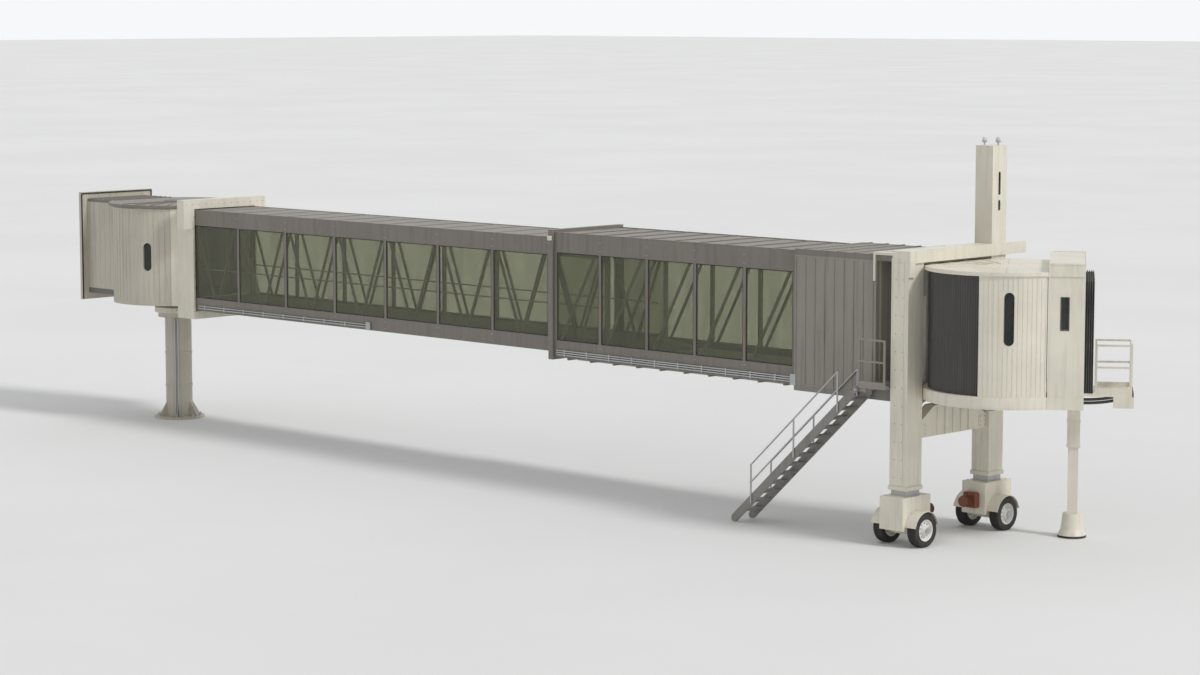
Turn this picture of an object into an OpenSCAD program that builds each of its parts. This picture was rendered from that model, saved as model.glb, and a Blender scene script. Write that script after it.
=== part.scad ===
/* [Levels] */
// Walking surface of the rotunda and the inner tunnel
deck_z = 3860; // [3780:10:3960]
// Drop of the walking surface from the inner to the outer tunnel
deck_step = 160; // [140:5:180]
// Thickness of a floor pan
pan_t = 100; // [80:5:120]
// Height of the pitch hinge above the inner tunnel's underside
hinge_up = 130; // [110:5:160]

/* [Rotunda] */
// Outer radius of the turning wall
rot_r = 1980; // [1960:5:2000]
// Thickness of a curved wall
skin_t = 60; // [50:5:70]
// Clearance between moving rotunda pieces
turn_gap = 20; // [12:1:24]
// Thickness of the rotunda floor
rot_floor_t = 160; // [140:5:180]
// Thickness of the rotunda roof
rot_roof_t = 90; // [70:5:110]
// Length of the fixed corridor behind the rotunda centre
stub_l = 3100; // [2800:10:3400]
// Inside width of the fixed corridor
stub_w = 2080; // [2000:10:2120]
// End angle of the turning wall
rot_wall_end = 112; // [108:1:113]
// Angle of the upright slot window
slot_at = 64; // [58:1:75]
// Width of a slot window
slot_w = 220; // [160:10:260]
// Height of the rotunda slot window
slot_h = 800; // [600:10:1000]

/* [Pedestal] */
// Radius of the pedestal column
ped_r = 400; // [360:5:430]
// Radius of the pedestal base flange
ped_base_r = 760; // [740:5:820]
// Thickness of the base flange
ped_base_t = 60; // [50:1:80]
// Radius of the anchor bolt circle
anchor_pcr = 650; // [620:5:680]
// Radius of an anchor bolt hole
anchor_r = 20; // [16:1:24]
// Number of anchor bolts
anchor_n = 12; // [10:1:14]

/* [Inner tunnel] */
// Overall width of the inner tunnel
a_w = 2260; // [2220:10:2300]
// Overall height of the inner tunnel
a_h = 2980; // [2900:10:3040]
// Length of the inner tunnel
a_len = 17100; // [16000:100:17600]
// Number of bays of the inner tunnel
a_bays = 8; // [6:1:9]
// Height of the inner tunnel's bottom chord
a_chord = 380; // [350:5:400]
// Height of the inner tunnel's top chord
a_band = 390; // [340:5:420]
// Thickness of a tunnel side
side_t = 70; // [64:1:80]
// Depth of the bars inside the glass
frame_t = 44; // [38:1:50]
// Thickness of the glass
glass_t = 10; // [8:1:12]
// Width of a post
bar_w = 90; // [70:5:110]
// Width of a diagonal
brace_w = 70; // [50:5:90]
// Thickness of the inner tunnel's roof
a_roof_t = 60; // [50:5:70]
// How far the inner tunnel reaches into the outer one
lap = 1800; // [1600:50:2200]
// Length of the ramp at the inner tunnel's end
ramp_l = 1300; // [1100:50:1500]

/* [Outer tunnel] */
// Side clearance between the two tunnels
fit_side = 60; // [50:1:70]
// Vertical clearance between the two tunnels
fit_up = 40; // [34:1:60]
// Length of the glazed part of the outer tunnel
b_glazed = 8200; // [7600:100:8600]
// Number of bays of the outer tunnel
b_bays = 5; // [4:1:6]
// Length of the closed part of the outer tunnel
solid_l = 2500; // [2300:50:2700]
// Length of the service landing recess
recess_l = 900; // [850:10:1000]
// Depth of the service landing recess
recess_d = 800; // [700:10:850]
// Thickness of the outer tunnel's roof
b_roof_t = 80; // [70:5:100]
// Thickness of the outer tunnel's lower tray
tray_t = 80; // [70:5:90]
// Height of the outer tunnel's bottom chord
b_chord = 440; // [400:5:460]
// Height of the outer tunnel's top chord
b_band = 420; // [360:5:440]
// How far the closed part stands proud of the glazed part
solid_out = 40; // [30:5:40]
// Extra depth of the closed part's underside
solid_drop = 130; // [100:5:150]
// Length of the outer tunnel's thick rear frame
rear_l = 160; // [140:5:200]
// Width of the service doorway
door_w = 760; // [700:10:780]
// Height of the service doorway
door_h = 2020; // [1950:10:2100]

/* [Lift] */
// Length of a lift column along the tunnel
col_l = 500; // [460:5:520]
// Width of a lift column across the tunnel
col_w = 560; // [500:5:600]
// Wall thickness of a lift column
col_t = 20; // [16:1:24]
// Clearance round a lift leg in its column
leg_gap = 10; // [8:1:12]
// Lower end of the lift columns
col_z0 = 1300; // [1280:5:1340]
// Top of the far lift column
mast_z = 9200; // [8800:50:9500]
// Top of the lift legs inside their columns
leg_top = 3300; // [3100:50:3400]
// Underside of the cross beam
beam_z0 = 2480; // [2400:10:2560]
// Top of the cross beam
beam_z1 = 3200; // [3150:10:3220]

/* [Wheels] */
// Radius of a wheel
wheel_r = 400; // [380:5:420]
// Width of a tyre
wheel_w = 280; // [240:5:300]
// Distance of a wheel's middle from its column's middle
wheel_out = 500; // [480:5:520]
// Radius of an axle
axle_r = 45; // [40:1:55]
// Radius of a kingpin
kingpin_r = 110; // [90:5:130]
// Top of a wheel carriage
carriage_z = 1170; // [1130:5:1190]

/* [Cab] */
// Outer radius of the cab floor and roof
cab_r = 1930; // [1900:5:1960]
// Clearance of the cab's edge from the lift columns
cab_gap = 20; // [15:1:30]
// Angle of the cab from the tunnel
cab_turn = 35; // [30:1:38]
// Underside of the cab floor
cab_z0 = 3420; // [3400:5:3440]
// Top of the cab's curved walls
cab_wall_z = 6440; // [6400:10:6450]
// Thickness of the cab roof
cab_roof_t = 90; // [70:5:90]
// Half width of the cab's flat front
front_y = 1700; // [1660:5:1720]
// Distance of the cab's flat front from its centre
front_x = 1750; // [1700:5:1800]
// Top of the cab's front box
front_z = 6730; // [6700:5:6780]
// Half angle of the cab's front part
front_at = 61.5; // [61:0.5:63]
// End angle of the near cab wall
wall_near_end = 109; // [105:1:109]
// End angle of the far cab wall
wall_far_end = 82; // [78:1:82]
// Half width of the cab's front opening
mouth_y = 1150; // [1100:10:1250]
// Height of the cab's front opening
mouth_h = 2350; // [2200:10:2450]
// Depth of the hood round the front opening
hood_l = 200; // [160:10:240]
// Length of the front platform
plat_l = 900; // [800:10:1000]
// Half width of the front platform
plat_y = 600; // [500:10:700]
// Height of a guard rail
rail_h = 1100; // [1000:10:1200]
// Radius of a rail tube
rail_r = 22; // [18:1:26]

/* [Prop leg] */
// Side of the prop leg's sleeve
prop_w = 300; // [260:5:320]
// Lower end of the prop leg's sleeve
prop_z = 2150; // [2100:10:2250]
// Height of the prop leg's flared foot
foot_h = 570; // [500:10:600]
// Radius of the prop leg's flared foot
foot_r = 330; // [300:5:360]

/* [Stair] */
// Width of the stair
stair_w = 700; // [640:10:760]
// Slope of the stair
stair_slope = 43; // [42:0.5:44]
// Number of treads
tread_n = 14; // [12:1:15]
// Depth of a tread
tread_l = 240; // [220:5:260]
// Radius of the stair's foot rollers
roller_r = 90; // [80:5:100]
// Radius of the stair's hinge pins
stair_pin_r = 20; // [16:1:24]

/* [Hidden] */
$fn = 64;
eps = 1;
seat = 0.3;
run_fit = 0.05;
paint = [0.86, 0.83, 0.75];
shade = [0.55, 0.53, 0.48];
band_grey = [0.46, 0.43, 0.4];
green_glass = [0.4, 0.48, 0.3, 0.6];
charcoal = [0.12, 0.12, 0.12];
black = [0.06, 0.06, 0.06];

// Inner tunnel levels and lines
rot_in = rot_r - skin_t;
floor_r = rot_in - turn_gap;
a_y1 = a_w / 2;
a_y0 = a_y1 - side_t;
a_z0 = deck_z - pan_t - 240;
a_z1 = a_z0 + a_h;
hinge_x = rot_r + turn_gap;
hinge_z = a_z0 + hinge_up;
hinge_r = 40;
lug_r = 90;
a_x0 = hinge_x + 200;
a_x1 = a_x0 + a_len;

// Rotunda levels
roof_z = a_z1 + turn_gap / 2;
cheek_y = a_y1 + turn_gap;
cheek_t = 60;
cheek_z1 = roof_z - turn_gap / 2;
header_x0 = rot_r + 3 * turn_gap;
header_x1 = header_x0 + 310;
header_z0 = a_z1 + 30;
header_z1 = a_z1 + 300;
header_y = 1550;
ring_z0 = deck_z - rot_floor_t - 450;
ring_h = 150;
ring_r = ped_r + 300;
strip_end = 43;
strip_start = 35.2;
stub_y0 = stub_w / 2;
stub_y1 = stub_y0 + skin_t;
stub_r1 = rot_in - 3 * turn_gap;
stub_r0 = stub_r1 - skin_t;
frame_l = 100;

// Outer tunnel levels and lines
b_x0 = a_x1 - lap;
b_x1 = b_x0 + b_glazed;
b_x2 = b_x1 + solid_l;
b_x3 = b_x2 + recess_l;
b_x4 = b_x3 + col_l;
b_y0 = a_y1 + fit_side;
b_y1 = b_y0 + side_t;
b_tray = a_z0 - fit_up;
b_z0 = b_tray - tray_t;
b_deck = deck_z - deck_step;
b_pan_y = a_y0 - 30;
b_z2 = a_z1 + fit_up + 20;
b_z1 = b_z2 + b_roof_t;
s_y1 = b_y1 + solid_out;
s_z0 = b_z0 - solid_drop;
s_z1 = b_z1 + 60;

// Lift lines
col_y0 = s_y1;
col_y1 = col_y0 + col_w;
col_x = (b_x3 + b_x4) / 2;
col_y = (col_y0 + col_y1) / 2;
col_z1 = s_z1;
kingpin_h = col_z0 - carriage_z - 10;
leg_l = col_l - 2 * col_t - 2 * leg_gap;
leg_w = col_w - 2 * col_t - 2 * leg_gap;

// Cab lines
cab_x = b_x4 + sqrt((cab_r + cab_gap) * (cab_r + cab_gap) - col_y0 * col_y0);
wall_r1 = cab_r - 30;
wall_r0 = wall_r1 - skin_t;
curtain_r1 = wall_r0 - 10;
curtain_r0 = curtain_r1 - 40;
side_out = front_y - 20;
window_t = 12;

// Stair lines
stair_y0 = s_y1 + 60;
stair_y1 = stair_y0 + stair_w;
stringer_t = 50;
plate_t = 60;
stair_lug_r = 80;
stair_x = b_x2 + 100;
stair_pin_x = stair_x - stair_lug_r - 10;
stair_z = b_deck - plate_t - 60;
stair_l = (stair_z - roller_r) / sin(stair_slope);

module block(x, y, z) {
  translate([x[0], y[0], z[0]])
    cube([x[1] - x[0], y[1] - y[0], z[1] - z[0]]);
}

// A piece drawn on the far side, or mirrored to the near side
module on_side(s) {
  if (s > 0) children();
  else mirror([0, 1, 0]) children();
}

module both_sides() {
  children();
  mirror([0, 1, 0]) children();
}

module arc_wall(r0, r1, from, to, z) {
  rotate([0, 0, from])
    rotate_extrude(angle = to - from, $fn = 240)
      translate([r0, z[0]]) square([r1 - r0, z[1] - z[0]]);
}

module disc(r, z) {
  translate([0, 0, z[0]]) cylinder(r = r, h = z[1] - z[0]);
}

// An upright slot with round ends, cut outwards along +X
module slot_cut(r0, r1, w, h, z) {
  translate([r0, 0, z])
    rotate([90, 0, 90])
      linear_extrude(r1 - r0)
        union() {
          square([w, h - w], center = true);
          for (e = [-1, 1]) translate([0, e * (h - w) / 2]) circle(d = w);
        }
}

// A straight bar in an upright side between two points given as [x, z]
module brace(p, q, w, y) {
  d = q - p;
  translate([p[0], y[0], p[1]])
    rotate([0, -atan2(d[1], d[0]), 0])
      translate([0, 0, -w / 2])
        cube([norm(d), y[1] - y[0], w]);
}

// One upright lattice side: chords, posts, diagonals and outer cover strips
module truss(x, bays, y0, z, chord, band, vees) {
  y1 = y0 + side_t;
  bay = (x[1] - x[0]) / bays;
  low = z[0] + chord / 2;
  high = z[1] - band / 2;
  cap = y0 + frame_t + glass_t + 2 * seat;
  block(x, [y0, y1], [z[0], z[0] + chord]);
  block(x, [y0, y1], [z[1] - band, z[1]]);
  block([x[0], x[0] + bar_w], [y0, y1], z);
  block([x[1] - bar_w, x[1]], [y0, y1], z);
  for (i = [1:bays - 1]) {
    at = x[0] + i * bay;
    block([at - bar_w / 2, at + bar_w / 2], [y0, y0 + frame_t], [low, high]);
    block([at - bar_w / 2, at + bar_w / 2], [cap, y1], [low, high]);
  }
  for (i = [0:bays - 1]) {
    left = x[0] + i * bay + bar_w;
    right = x[0] + (i + 1) * bay - bar_w;
    mid = (left + right) / 2;
    if (vees) {
      brace([left, high], [mid, low], brace_w, [y0, y0 + frame_t]);
      brace([mid, low], [right, high], brace_w, [y0, y0 + frame_t]);
    } else {
      brace([left, low], [right, high], brace_w, [y0, y0 + frame_t]);
    }
  }
}

module glass_sheet(x, y0, z, chord, band) {
  block([x[0] + bar_w + seat, x[1] - bar_w - seat],
    [y0 + frame_t + seat, y0 + frame_t + seat + glass_t],
    [z[0] + chord + seat, z[1] - band - seat]);
}

module pedestal_column() {
  color(shade) {
    difference() {
      disc(ped_base_r, [0, ped_base_t]);
      for (i = [0:anchor_n - 1])
        rotate([0, 0, i * 360 / anchor_n])
          translate([anchor_pcr, 0, -eps]) cylinder(r = anchor_r, h = ped_base_t + 2 * eps);
    }
    disc(ped_r, [0, deck_z - rot_floor_t]);
    disc(ped_r + 200, [ring_z0 - 150, ring_z0]);
    disc(ped_r + 500, [deck_z - rot_floor_t - 80, deck_z - rot_floor_t]);
    for (i = [0:anchor_n / 2 - 1])
      rotate([0, 0, (i + 0.25) * 720 / anchor_n])
        translate([ped_r - 20, 10, ped_base_t - eps])
          rotate([90, 0, 0])
            linear_extrude(20)
              polygon([[0, 0], [ped_base_r - ped_r - 60, 0], [40, 420], [0, 420]]);
  }
}

module rotunda_floor() {
  z = [deck_z - rot_floor_t, deck_z];
  color(shade) {
    disc(floor_r, z);
    block([frame_l - stub_l, 0], [-stub_y1, stub_y1], z);
  }
}

module rotunda_roof() {
  color(band_grey) {
    disc(rot_r + 2 * turn_gap, [roof_z, roof_z + rot_roof_t]);
    block([frame_l - stub_l, 0], [-stub_y1, stub_y1], [roof_z, roof_z + rot_roof_t]);
  }
}

module stub_wall(s) {
  z = [deck_z, roof_z];
  meet = 180 - asin((stub_y1 - 20) / stub_r1);
  color(paint)
    on_side(s) {
      arc_wall(stub_r0, stub_r1, rot_wall_end - 32, meet, [z[0], z[1] - 2 * seat]);
      block([frame_l - stub_l, stub_r1 * cos(meet) + skin_t], [stub_y0, stub_y1],
        [z[0] + seat, z[1] - seat]);
    }
}

module wall_frame() {
  color(shade)
    difference() {
      block([-stub_l, frame_l - stub_l], [-stub_y1 - 250, stub_y1 + 250],
        [deck_z - rot_floor_t - 200, roof_z + rot_roof_t + 200]);
      block([-stub_l - eps, frame_l - stub_l + eps], [-stub_y0, stub_y0], [deck_z, roof_z]);
    }
}

module swing_frame() {
  sill_z = a_z0 - 30;
  color(paint) {
    translate([0, 0, ring_z0 + seat])
      difference() {
        cylinder(r = ring_r, h = ring_h);
        translate([0, 0, -eps]) cylinder(r = ped_r + 0.5, h = ring_h + 2 * eps);
      }
    difference() {
      both_sides()
        block([ped_r, header_x0], [ped_r - 120, ped_r + 60], [ring_z0 + 10, ring_z0 + ring_h]);
      disc(ped_r + 0.5, [ring_z0, ring_z0 + ring_h + eps]);
    }
    block([header_x0, header_x1], [-cheek_y - cheek_t, cheek_y + cheek_t],
      [ring_z0 + 10, sill_z]);
    both_sides() {
      block([floor_r * 0.823, header_x1], [cheek_y, cheek_y + cheek_t], [ring_z0 + 10, cheek_z1]);
      block([header_x0, header_x1], [cheek_y, header_y], [a_z1 - 550, header_z1]);
      arc_wall(rot_in, rot_r, strip_start, strip_end, [deck_z - rot_floor_t - 100, cheek_z1]);
      translate([hinge_x, a_y0 - 5, hinge_z])
        rotate([-90, 0, 0]) cylinder(r = hinge_r, h = cheek_y + 10 - a_y0);
    }
    block([header_x0, header_x1], [-header_y, header_y], [header_z0, header_z1]);
    difference() {
      union() {
        block([header_x0, a_x0 - 20], [-b_pan_y, b_pan_y], [sill_z - eps, deck_z - 5]);
        block([floor_r - 300, a_x0 - 14], [-b_pan_y, b_pan_y], [deck_z - 55, deck_z - 5]);
      }
      disc(floor_r + turn_gap / 2, [sill_z - 2 * eps, deck_z]);
    }
  }
}

module rotunda_wall(s) {
  z = [deck_z - rot_floor_t - 100, cheek_z1];
  color(shade)
    on_side(s)
      difference() {
        arc_wall(rot_in, rot_r, strip_end + asin(seat / rot_in), rot_wall_end, z);
        rotate([0, 0, slot_at])
          slot_cut(rot_in - 20, rot_r + 20, slot_w, slot_h, deck_z + 1200);
      }
}

module a_floor() {
  tip = b_deck + 5;
  color(shade) {
    block([a_x0, a_x1], [-a_y0, a_y0], [deck_z - pan_t, deck_z]);
    translate([0, b_pan_y - 30, 0])
      rotate([90, 0, 0])
        linear_extrude(2 * (b_pan_y - 30))
          polygon([[a_x1 - eps, deck_z], [a_x1 - eps, tip + 20], [a_x1 + 200, tip],
            [a_x1 + ramp_l, tip], [a_x1 + ramp_l, tip + 12]]);
  }
}

module a_roof() {
  color(band_grey)
    block([a_x0, a_x1], [-a_y1, a_y1], [a_z1 - a_roof_t, a_z1]);
}

module a_truss(s) {
  z = [a_z0, a_z1 - a_roof_t];
  color(band_grey)
    on_side(s) {
      difference() {
        union() {
          truss([a_x0, a_x1], a_bays, a_y0, z, a_chord, a_band, true);
          block([hinge_x, a_x0 + eps], [a_y0, a_y1], [hinge_z - lug_r, hinge_z + lug_r]);
          translate([hinge_x, a_y0, hinge_z])
            rotate([-90, 0, 0]) cylinder(r = lug_r, h = side_t);
        }
        translate([hinge_x, a_y0 - eps, hinge_z])
          rotate([-90, 0, 0]) cylinder(r = hinge_r + run_fit, h = side_t + 2 * eps);
      }
      block([a_x1 - 500, a_x1 - 100], [a_y0, a_y1], [b_tray + seat, a_z0 + eps]);
      block([a_x1 - 500, a_x1 - 100], [a_y1 - eps, b_y0 - seat], [a_z0 + 60, a_z0 + 160]);
    }
}

module a_glass() {
  color(green_glass)
    both_sides()
      glass_sheet([a_x0, a_x1], a_y0, [a_z0, a_z1 - a_roof_t], a_chord, a_band);
}

module b_floor() {
  color(shade)
    difference() {
      union() {
        block([b_x0, b_x3], [-b_y0, b_y0], [b_z0, b_tray]);
        block([b_x0, b_x3], [-b_pan_y, b_pan_y], [b_z0, b_deck]);
        block([b_x1, b_x4], [-s_y1, s_y1], [s_z0, b_z0]);
        block([b_x1, b_x4], [-b_y0, b_y0], [s_z0, b_tray]);
        block([b_x2, b_x4], [-s_y1, s_y1], [s_z0, b_deck]);
      }
      translate([cab_x, 0, 0]) disc(cab_r + cab_gap / 2, [s_z0 - eps, b_deck + eps]);
    }
}

module b_roof() {
  color(band_grey) {
    block([b_x0, b_x1 + eps], [-b_y1, b_y1], [b_z2, b_z1]);
    block([b_x1, b_x4], [-s_y1, s_y1], [b_z2, s_z1]);
  }
}

module b_truss(s) {
  color(band_grey)
    on_side(s)
      truss([b_x0, b_x1], b_bays, b_y0, [b_z0, b_z2], b_chord, b_band, false);
}

module b_glass() {
  color(green_glass)
    both_sides()
      glass_sheet([b_x0, b_x1], b_y0, [b_z0, b_z2], b_chord, b_band);
}

// The thick frame round the mouth in which the inner tunnel runs
module b_rear_frame() {
  x = [b_x0 - rear_l, b_x0];
  color(band_grey) {
    difference() {
      block(x, [-b_y1 - 70, b_y1 + 70], [b_z0 - 70, b_z1 + 80]);
      block([x[0] - eps, x[1] + eps], [-a_y1 - 20, a_y1 + 20], [a_z0 - 20, a_z1 + 20]);
    }
    both_sides()
      block([x[0] + 20, x[1] - 20], [a_y0, a_y1], [a_z0 - 20 - eps, a_z0 - seat]);
  }
}

// A closed side of the outer tunnel
module b_panel_near() {
  color(paint) on_side(-1) block([b_x1, b_x2], [b_y0, s_y1], [b_z0, b_z2]);
}

module b_panel_far() {
  color(paint) {
    block([b_x1, b_x2], [b_y0, s_y1], [b_z0, b_z2]);
    block([b_x2 - eps, b_x3], [b_y0, s_y1], [b_deck, b_z2]);
  }
}

// Recess wall with the service doorway, and the platform outside it
module service_landing() {
  y_in = s_y1 - recess_d;
  color(shade)
    on_side(-1) {
      difference() {
        block([b_x2 + 60, b_x3], [y_in - skin_t, y_in], [b_deck, b_z2]);
        block([b_x2 + 100, b_x2 + 100 + door_w], [y_in - skin_t - eps, y_in + eps],
          [b_deck - eps, b_deck + door_h]);
      }
      block([b_x2, b_x2 + 60], [y_in - skin_t, b_y0], [b_deck, b_z2]);
      block([stair_x, b_x3 - 20], [s_y1, stair_y1], [b_deck - plate_t, b_deck]);
      for (y = [stair_y0 + stringer_t + 5, stair_y1 - stringer_t - 45]) {
        block([stair_pin_x - 40, stair_x + 200], [y, y + 40], [stair_z - 40, stair_z + 40]);
        block([stair_x, stair_x + 200], [y, y + 40], [stair_z - 40, b_deck - plate_t]);
      }
      for (y = [stair_y0 + 5, stair_y1 - stringer_t - 45])
        translate([stair_pin_x, y, stair_z])
          rotate([-90, 0, 0]) cylinder(r = stair_pin_r, h = stringer_t + 40);
      block([b_x3 - 60, b_x3 - 20], [stair_y1 - 40, stair_y1], [b_deck - eps, b_deck + rail_h]);
      block([stair_x, stair_x + 40], [stair_y1 - 40, stair_y1], [b_deck - eps, b_deck + rail_h]);
      for (h = [rail_h - 40, rail_h / 2])
        block([stair_x, b_x3 - 20], [stair_y1 - 40, stair_y1], [b_deck + h, b_deck + h + 40]);
    }
}

module service_door() {
  y_in = s_y1 - recess_d;
  color(paint)
    on_side(-1)
      block([b_x2 + 100 + seat, b_x2 + 100 + door_w - seat], [y_in - skin_t + 5, y_in - 10],
        [b_deck + seat, b_deck + door_h - seat]);
}

// Header over the columns, with its bracket legs and the long far arm
module front_frame() {
  arm_y = col_y1 + 740;
  color(paint) {
    block([b_x4, b_x4 + 60], [-col_y1 - 20, arm_y], [s_z1 - 100, s_z1 + 180]);
    block([b_x4, b_x4 + 60], [-col_y1 - 20, -col_y1 + 180], [s_z1 - 420, s_z1 - 100 + eps]);
    block([b_x3 + 40, b_x4 + eps], [-col_y1 - 20, col_y0 - seat], [s_z1, s_z1 + 180]);
    block([b_x2 - 60, b_x2], [-s_y1 - 40, -s_y1], [s_z1 - 620, s_z1 + 60]);
    block([b_x2 - 60, b_x2], [-s_y1 - 40, s_y1 + 40], [s_z1, s_z1 + 60]);
    block([b_x2 - eps, b_x4 - 60], [-s_y1 - 40, -s_y1 + 160], [s_z1, s_z1 + 60]);
  }
}

module column_tube(z1) {
  difference() {
    block([b_x3, b_x4], [col_y0, col_y1], [col_z0, z1]);
    block([b_x3 + col_t, b_x4 - col_t], [col_y0 + col_t, col_y1 - col_t],
      [col_z0 - eps, z1 - col_t]);
  }
}

module lift_column_near() {
  color(paint) on_side(-1) column_tube(col_z1);
}

module lift_column_far() {
  color(paint)
    difference() {
      column_tube(mast_z);
      for (at = [[mast_z - 900, 560], [mast_z - 1420, 260]])
        translate([b_x4 - col_t, col_y, 0])
          slot_cut(-10, col_t + 10, 90, at[1], at[0]);
    }
}

// Deep beam between the columns, cut away towards its upper corners
module cross_beam() {
  color(paint)
    translate([b_x4 - 100, 0, 0])
      rotate([90, 0, -90])
        linear_extrude(300)
          polygon([[-col_y0, beam_z0], [col_y0, beam_z0], [col_y0, beam_z1 - 380],
            [col_y0 - 620, beam_z1], [620 - col_y0, beam_z1], [-col_y0, beam_z1 - 380]]);
}

module cab_cradle() {
  z = [cab_z0 - 160, cab_z0 - seat];
  color(shade) {
    translate([cab_x, 0, 0]) disc(750, z);
    both_sides()
      block([b_x4 - 300, cab_x], [380, 560], [beam_z1, z[1]]);
  }
}

module curtain(from, to) {
  color(charcoal)
    translate([cab_x, 0, 0])
      arc_wall(curtain_r0, curtain_r1, from, to, [b_deck + seat, cab_wall_z - seat]);
}

module curtain_near() {
  curtain(-140, cab_turn - wall_near_end + 5);
}

module curtain_far() {
  curtain(cab_turn + wall_far_end - 5, 140);
}

module lift_leg(s) {
  pad = leg_gap - seat;
  x = [col_x - leg_l / 2, col_x + leg_l / 2];
  y = [col_y - leg_w / 2, col_y + leg_w / 2];
  color(shade)
    on_side(s)
      difference() {
        union() {
          block(x, y, [carriage_z + seat, leg_top]);
          for (z = [col_z0 + 100, leg_top - 250]) {
            block([x[0] - pad, x[1] + pad], [col_y - 80, col_y + 80], [z, z + 200]);
            block([col_x - 80, col_x + 80], [y[0] - pad, y[1] + pad], [z, z + 200]);
          }
        }
        translate([col_x, col_y, carriage_z])
          cylinder(r = kingpin_r + run_fit, h = kingpin_h + 20);
      }
}

// Kingpin, yoke with arched ends, and axle
module carriage(s) {
  hub_w = 2 * wheel_out - wheel_w - 40;
  arch_y = wheel_r + 120;
  box_y = 130;
  color(paint)
    on_side(s)
      translate([col_x, col_y, 0]) {
        translate([0, 0, carriage_z - eps]) cylinder(r = kingpin_r, h = kingpin_h + eps);
        translate([-hub_w / 2, 0, 0])
          rotate([90, 0, 90])
            linear_extrude(hub_w)
              union() {
                difference() {
                  translate([-arch_y, wheel_r]) square([2 * arch_y, carriage_z - wheel_r]);
                  translate([0, wheel_r]) circle(r = wheel_r + 40);
                }
                translate([-box_y, wheel_r - box_y]) square([2 * box_y, carriage_z - wheel_r]);
              }
        translate([-wheel_out - 180, 0, wheel_r])
          rotate([0, 90, 0]) cylinder(r = axle_r, h = 2 * wheel_out + 360);
      }
}

module wheel(s, end) {
  w = wheel_w / 2;
  color(black)
    on_side(s)
      translate([col_x + end * wheel_out, col_y, wheel_r])
        rotate([0, 90, 0])
          rotate_extrude()
            polygon([[axle_r + run_fit, -w - 10], [110, -w - 10], [120, -w + 60],
              [230, -w + 60], [240, -w + 6], [wheel_r - 40, -w], [wheel_r, -w + 40],
              [wheel_r, w - 40], [wheel_r - 40, w], [240, w - 6], [230, w - 60],
              [120, w - 60], [110, w + 10], [axle_r + run_fit, w + 10]]);
}

module cab_place() {
  translate([cab_x, 0, 0]) rotate([0, 0, cab_turn]) children();
}

// Plan of the cab: a disc cut off flat, with square front corners
module cab_plan(grow) {
  intersection() {
    circle(r = cab_r + grow);
    translate([-cab_r - 10, -cab_r - 10]) square([cab_r + 10 + front_x, 2 * cab_r + 20]);
  }
  translate([cab_r * cos(front_at), -front_y]) square([front_x - cab_r * cos(front_at), 2 * front_y]);
}

module cab_floor() {
  color(paint)
    cab_place()
      translate([0, 0, cab_z0]) linear_extrude(b_deck - cab_z0) cab_plan(0);
}

module cab_roof() {
  x0 = wall_r0 * cos(front_at) + 60;
  color(paint)
    cab_place() {
      translate([0, 0, cab_wall_z]) linear_extrude(cab_roof_t) cab_plan(0);
      block([x0, front_x], [-front_y, front_y], [cab_wall_z + cab_roof_t - eps, front_z]);
    }
}

module cab_wall_near() {
  color(paint)
    cab_place()
      difference() {
        arc_wall(wall_r0, wall_r1, -wall_near_end, -front_at, [b_deck, cab_wall_z - seat]);
        rotate([0, 0, -88])
          slot_cut(wall_r0 - 10, wall_r1 + 10, slot_w - 20, 1180, b_deck + 1780);
      }
}

module cab_wall_far() {
  color(paint)
    cab_place()
      arc_wall(wall_r0, wall_r1, front_at, wall_far_end, [b_deck, cab_wall_z - seat]);
}

// Flat front with its opening, and the short side walls with a window each
module cab_front() {
  x0 = wall_r1 * cos(front_at) + 30;
  color(paint)
    cab_place() {
      difference() {
        block([front_x - 120, front_x], [-side_out, side_out], [b_deck, cab_wall_z]);
        block([front_x - 121, front_x + 1], [-mouth_y, mouth_y], [b_deck - 1, b_deck + mouth_h]);
      }
      both_sides()
        difference() {
          block([x0, front_x - 60], [side_out - skin_t, side_out], [b_deck, cab_wall_z]);
          translate([(x0 + front_x) / 2 - 40, side_out - skin_t / 2, b_deck + 1900])
            cube([160, skin_t + 20, 720], center = true);
        }
    }
}

module cab_glass() {
  x0 = wall_r1 * cos(front_at) + 30;
  mid = wall_r0 + skin_t / 2;
  color(charcoal)
    cab_place() {
      both_sides()
        translate([(x0 + front_x) / 2 - 40, side_out - skin_t / 2, b_deck + 1900])
          cube([160 - 2 * seat, window_t, 720 - 2 * seat], center = true);
      rotate([0, 0, -88])
        slot_cut(mid - window_t / 2, mid + window_t / 2, slot_w - 20 - 2 * seat, 1180 - 2 * seat,
          b_deck + 1780);
    }
}

// Folding hood round the front opening
module cab_hood() {
  color(charcoal)
    cab_place()
      difference() {
        block([front_x, front_x + hood_l], [-mouth_y - 250, mouth_y + 250],
          [b_deck + 60, b_deck + mouth_h + 330]);
        block([front_x - eps, front_x + hood_l + eps], [-mouth_y - 60, mouth_y + 60],
          [b_deck, b_deck + mouth_h + 60]);
      }
}

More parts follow.
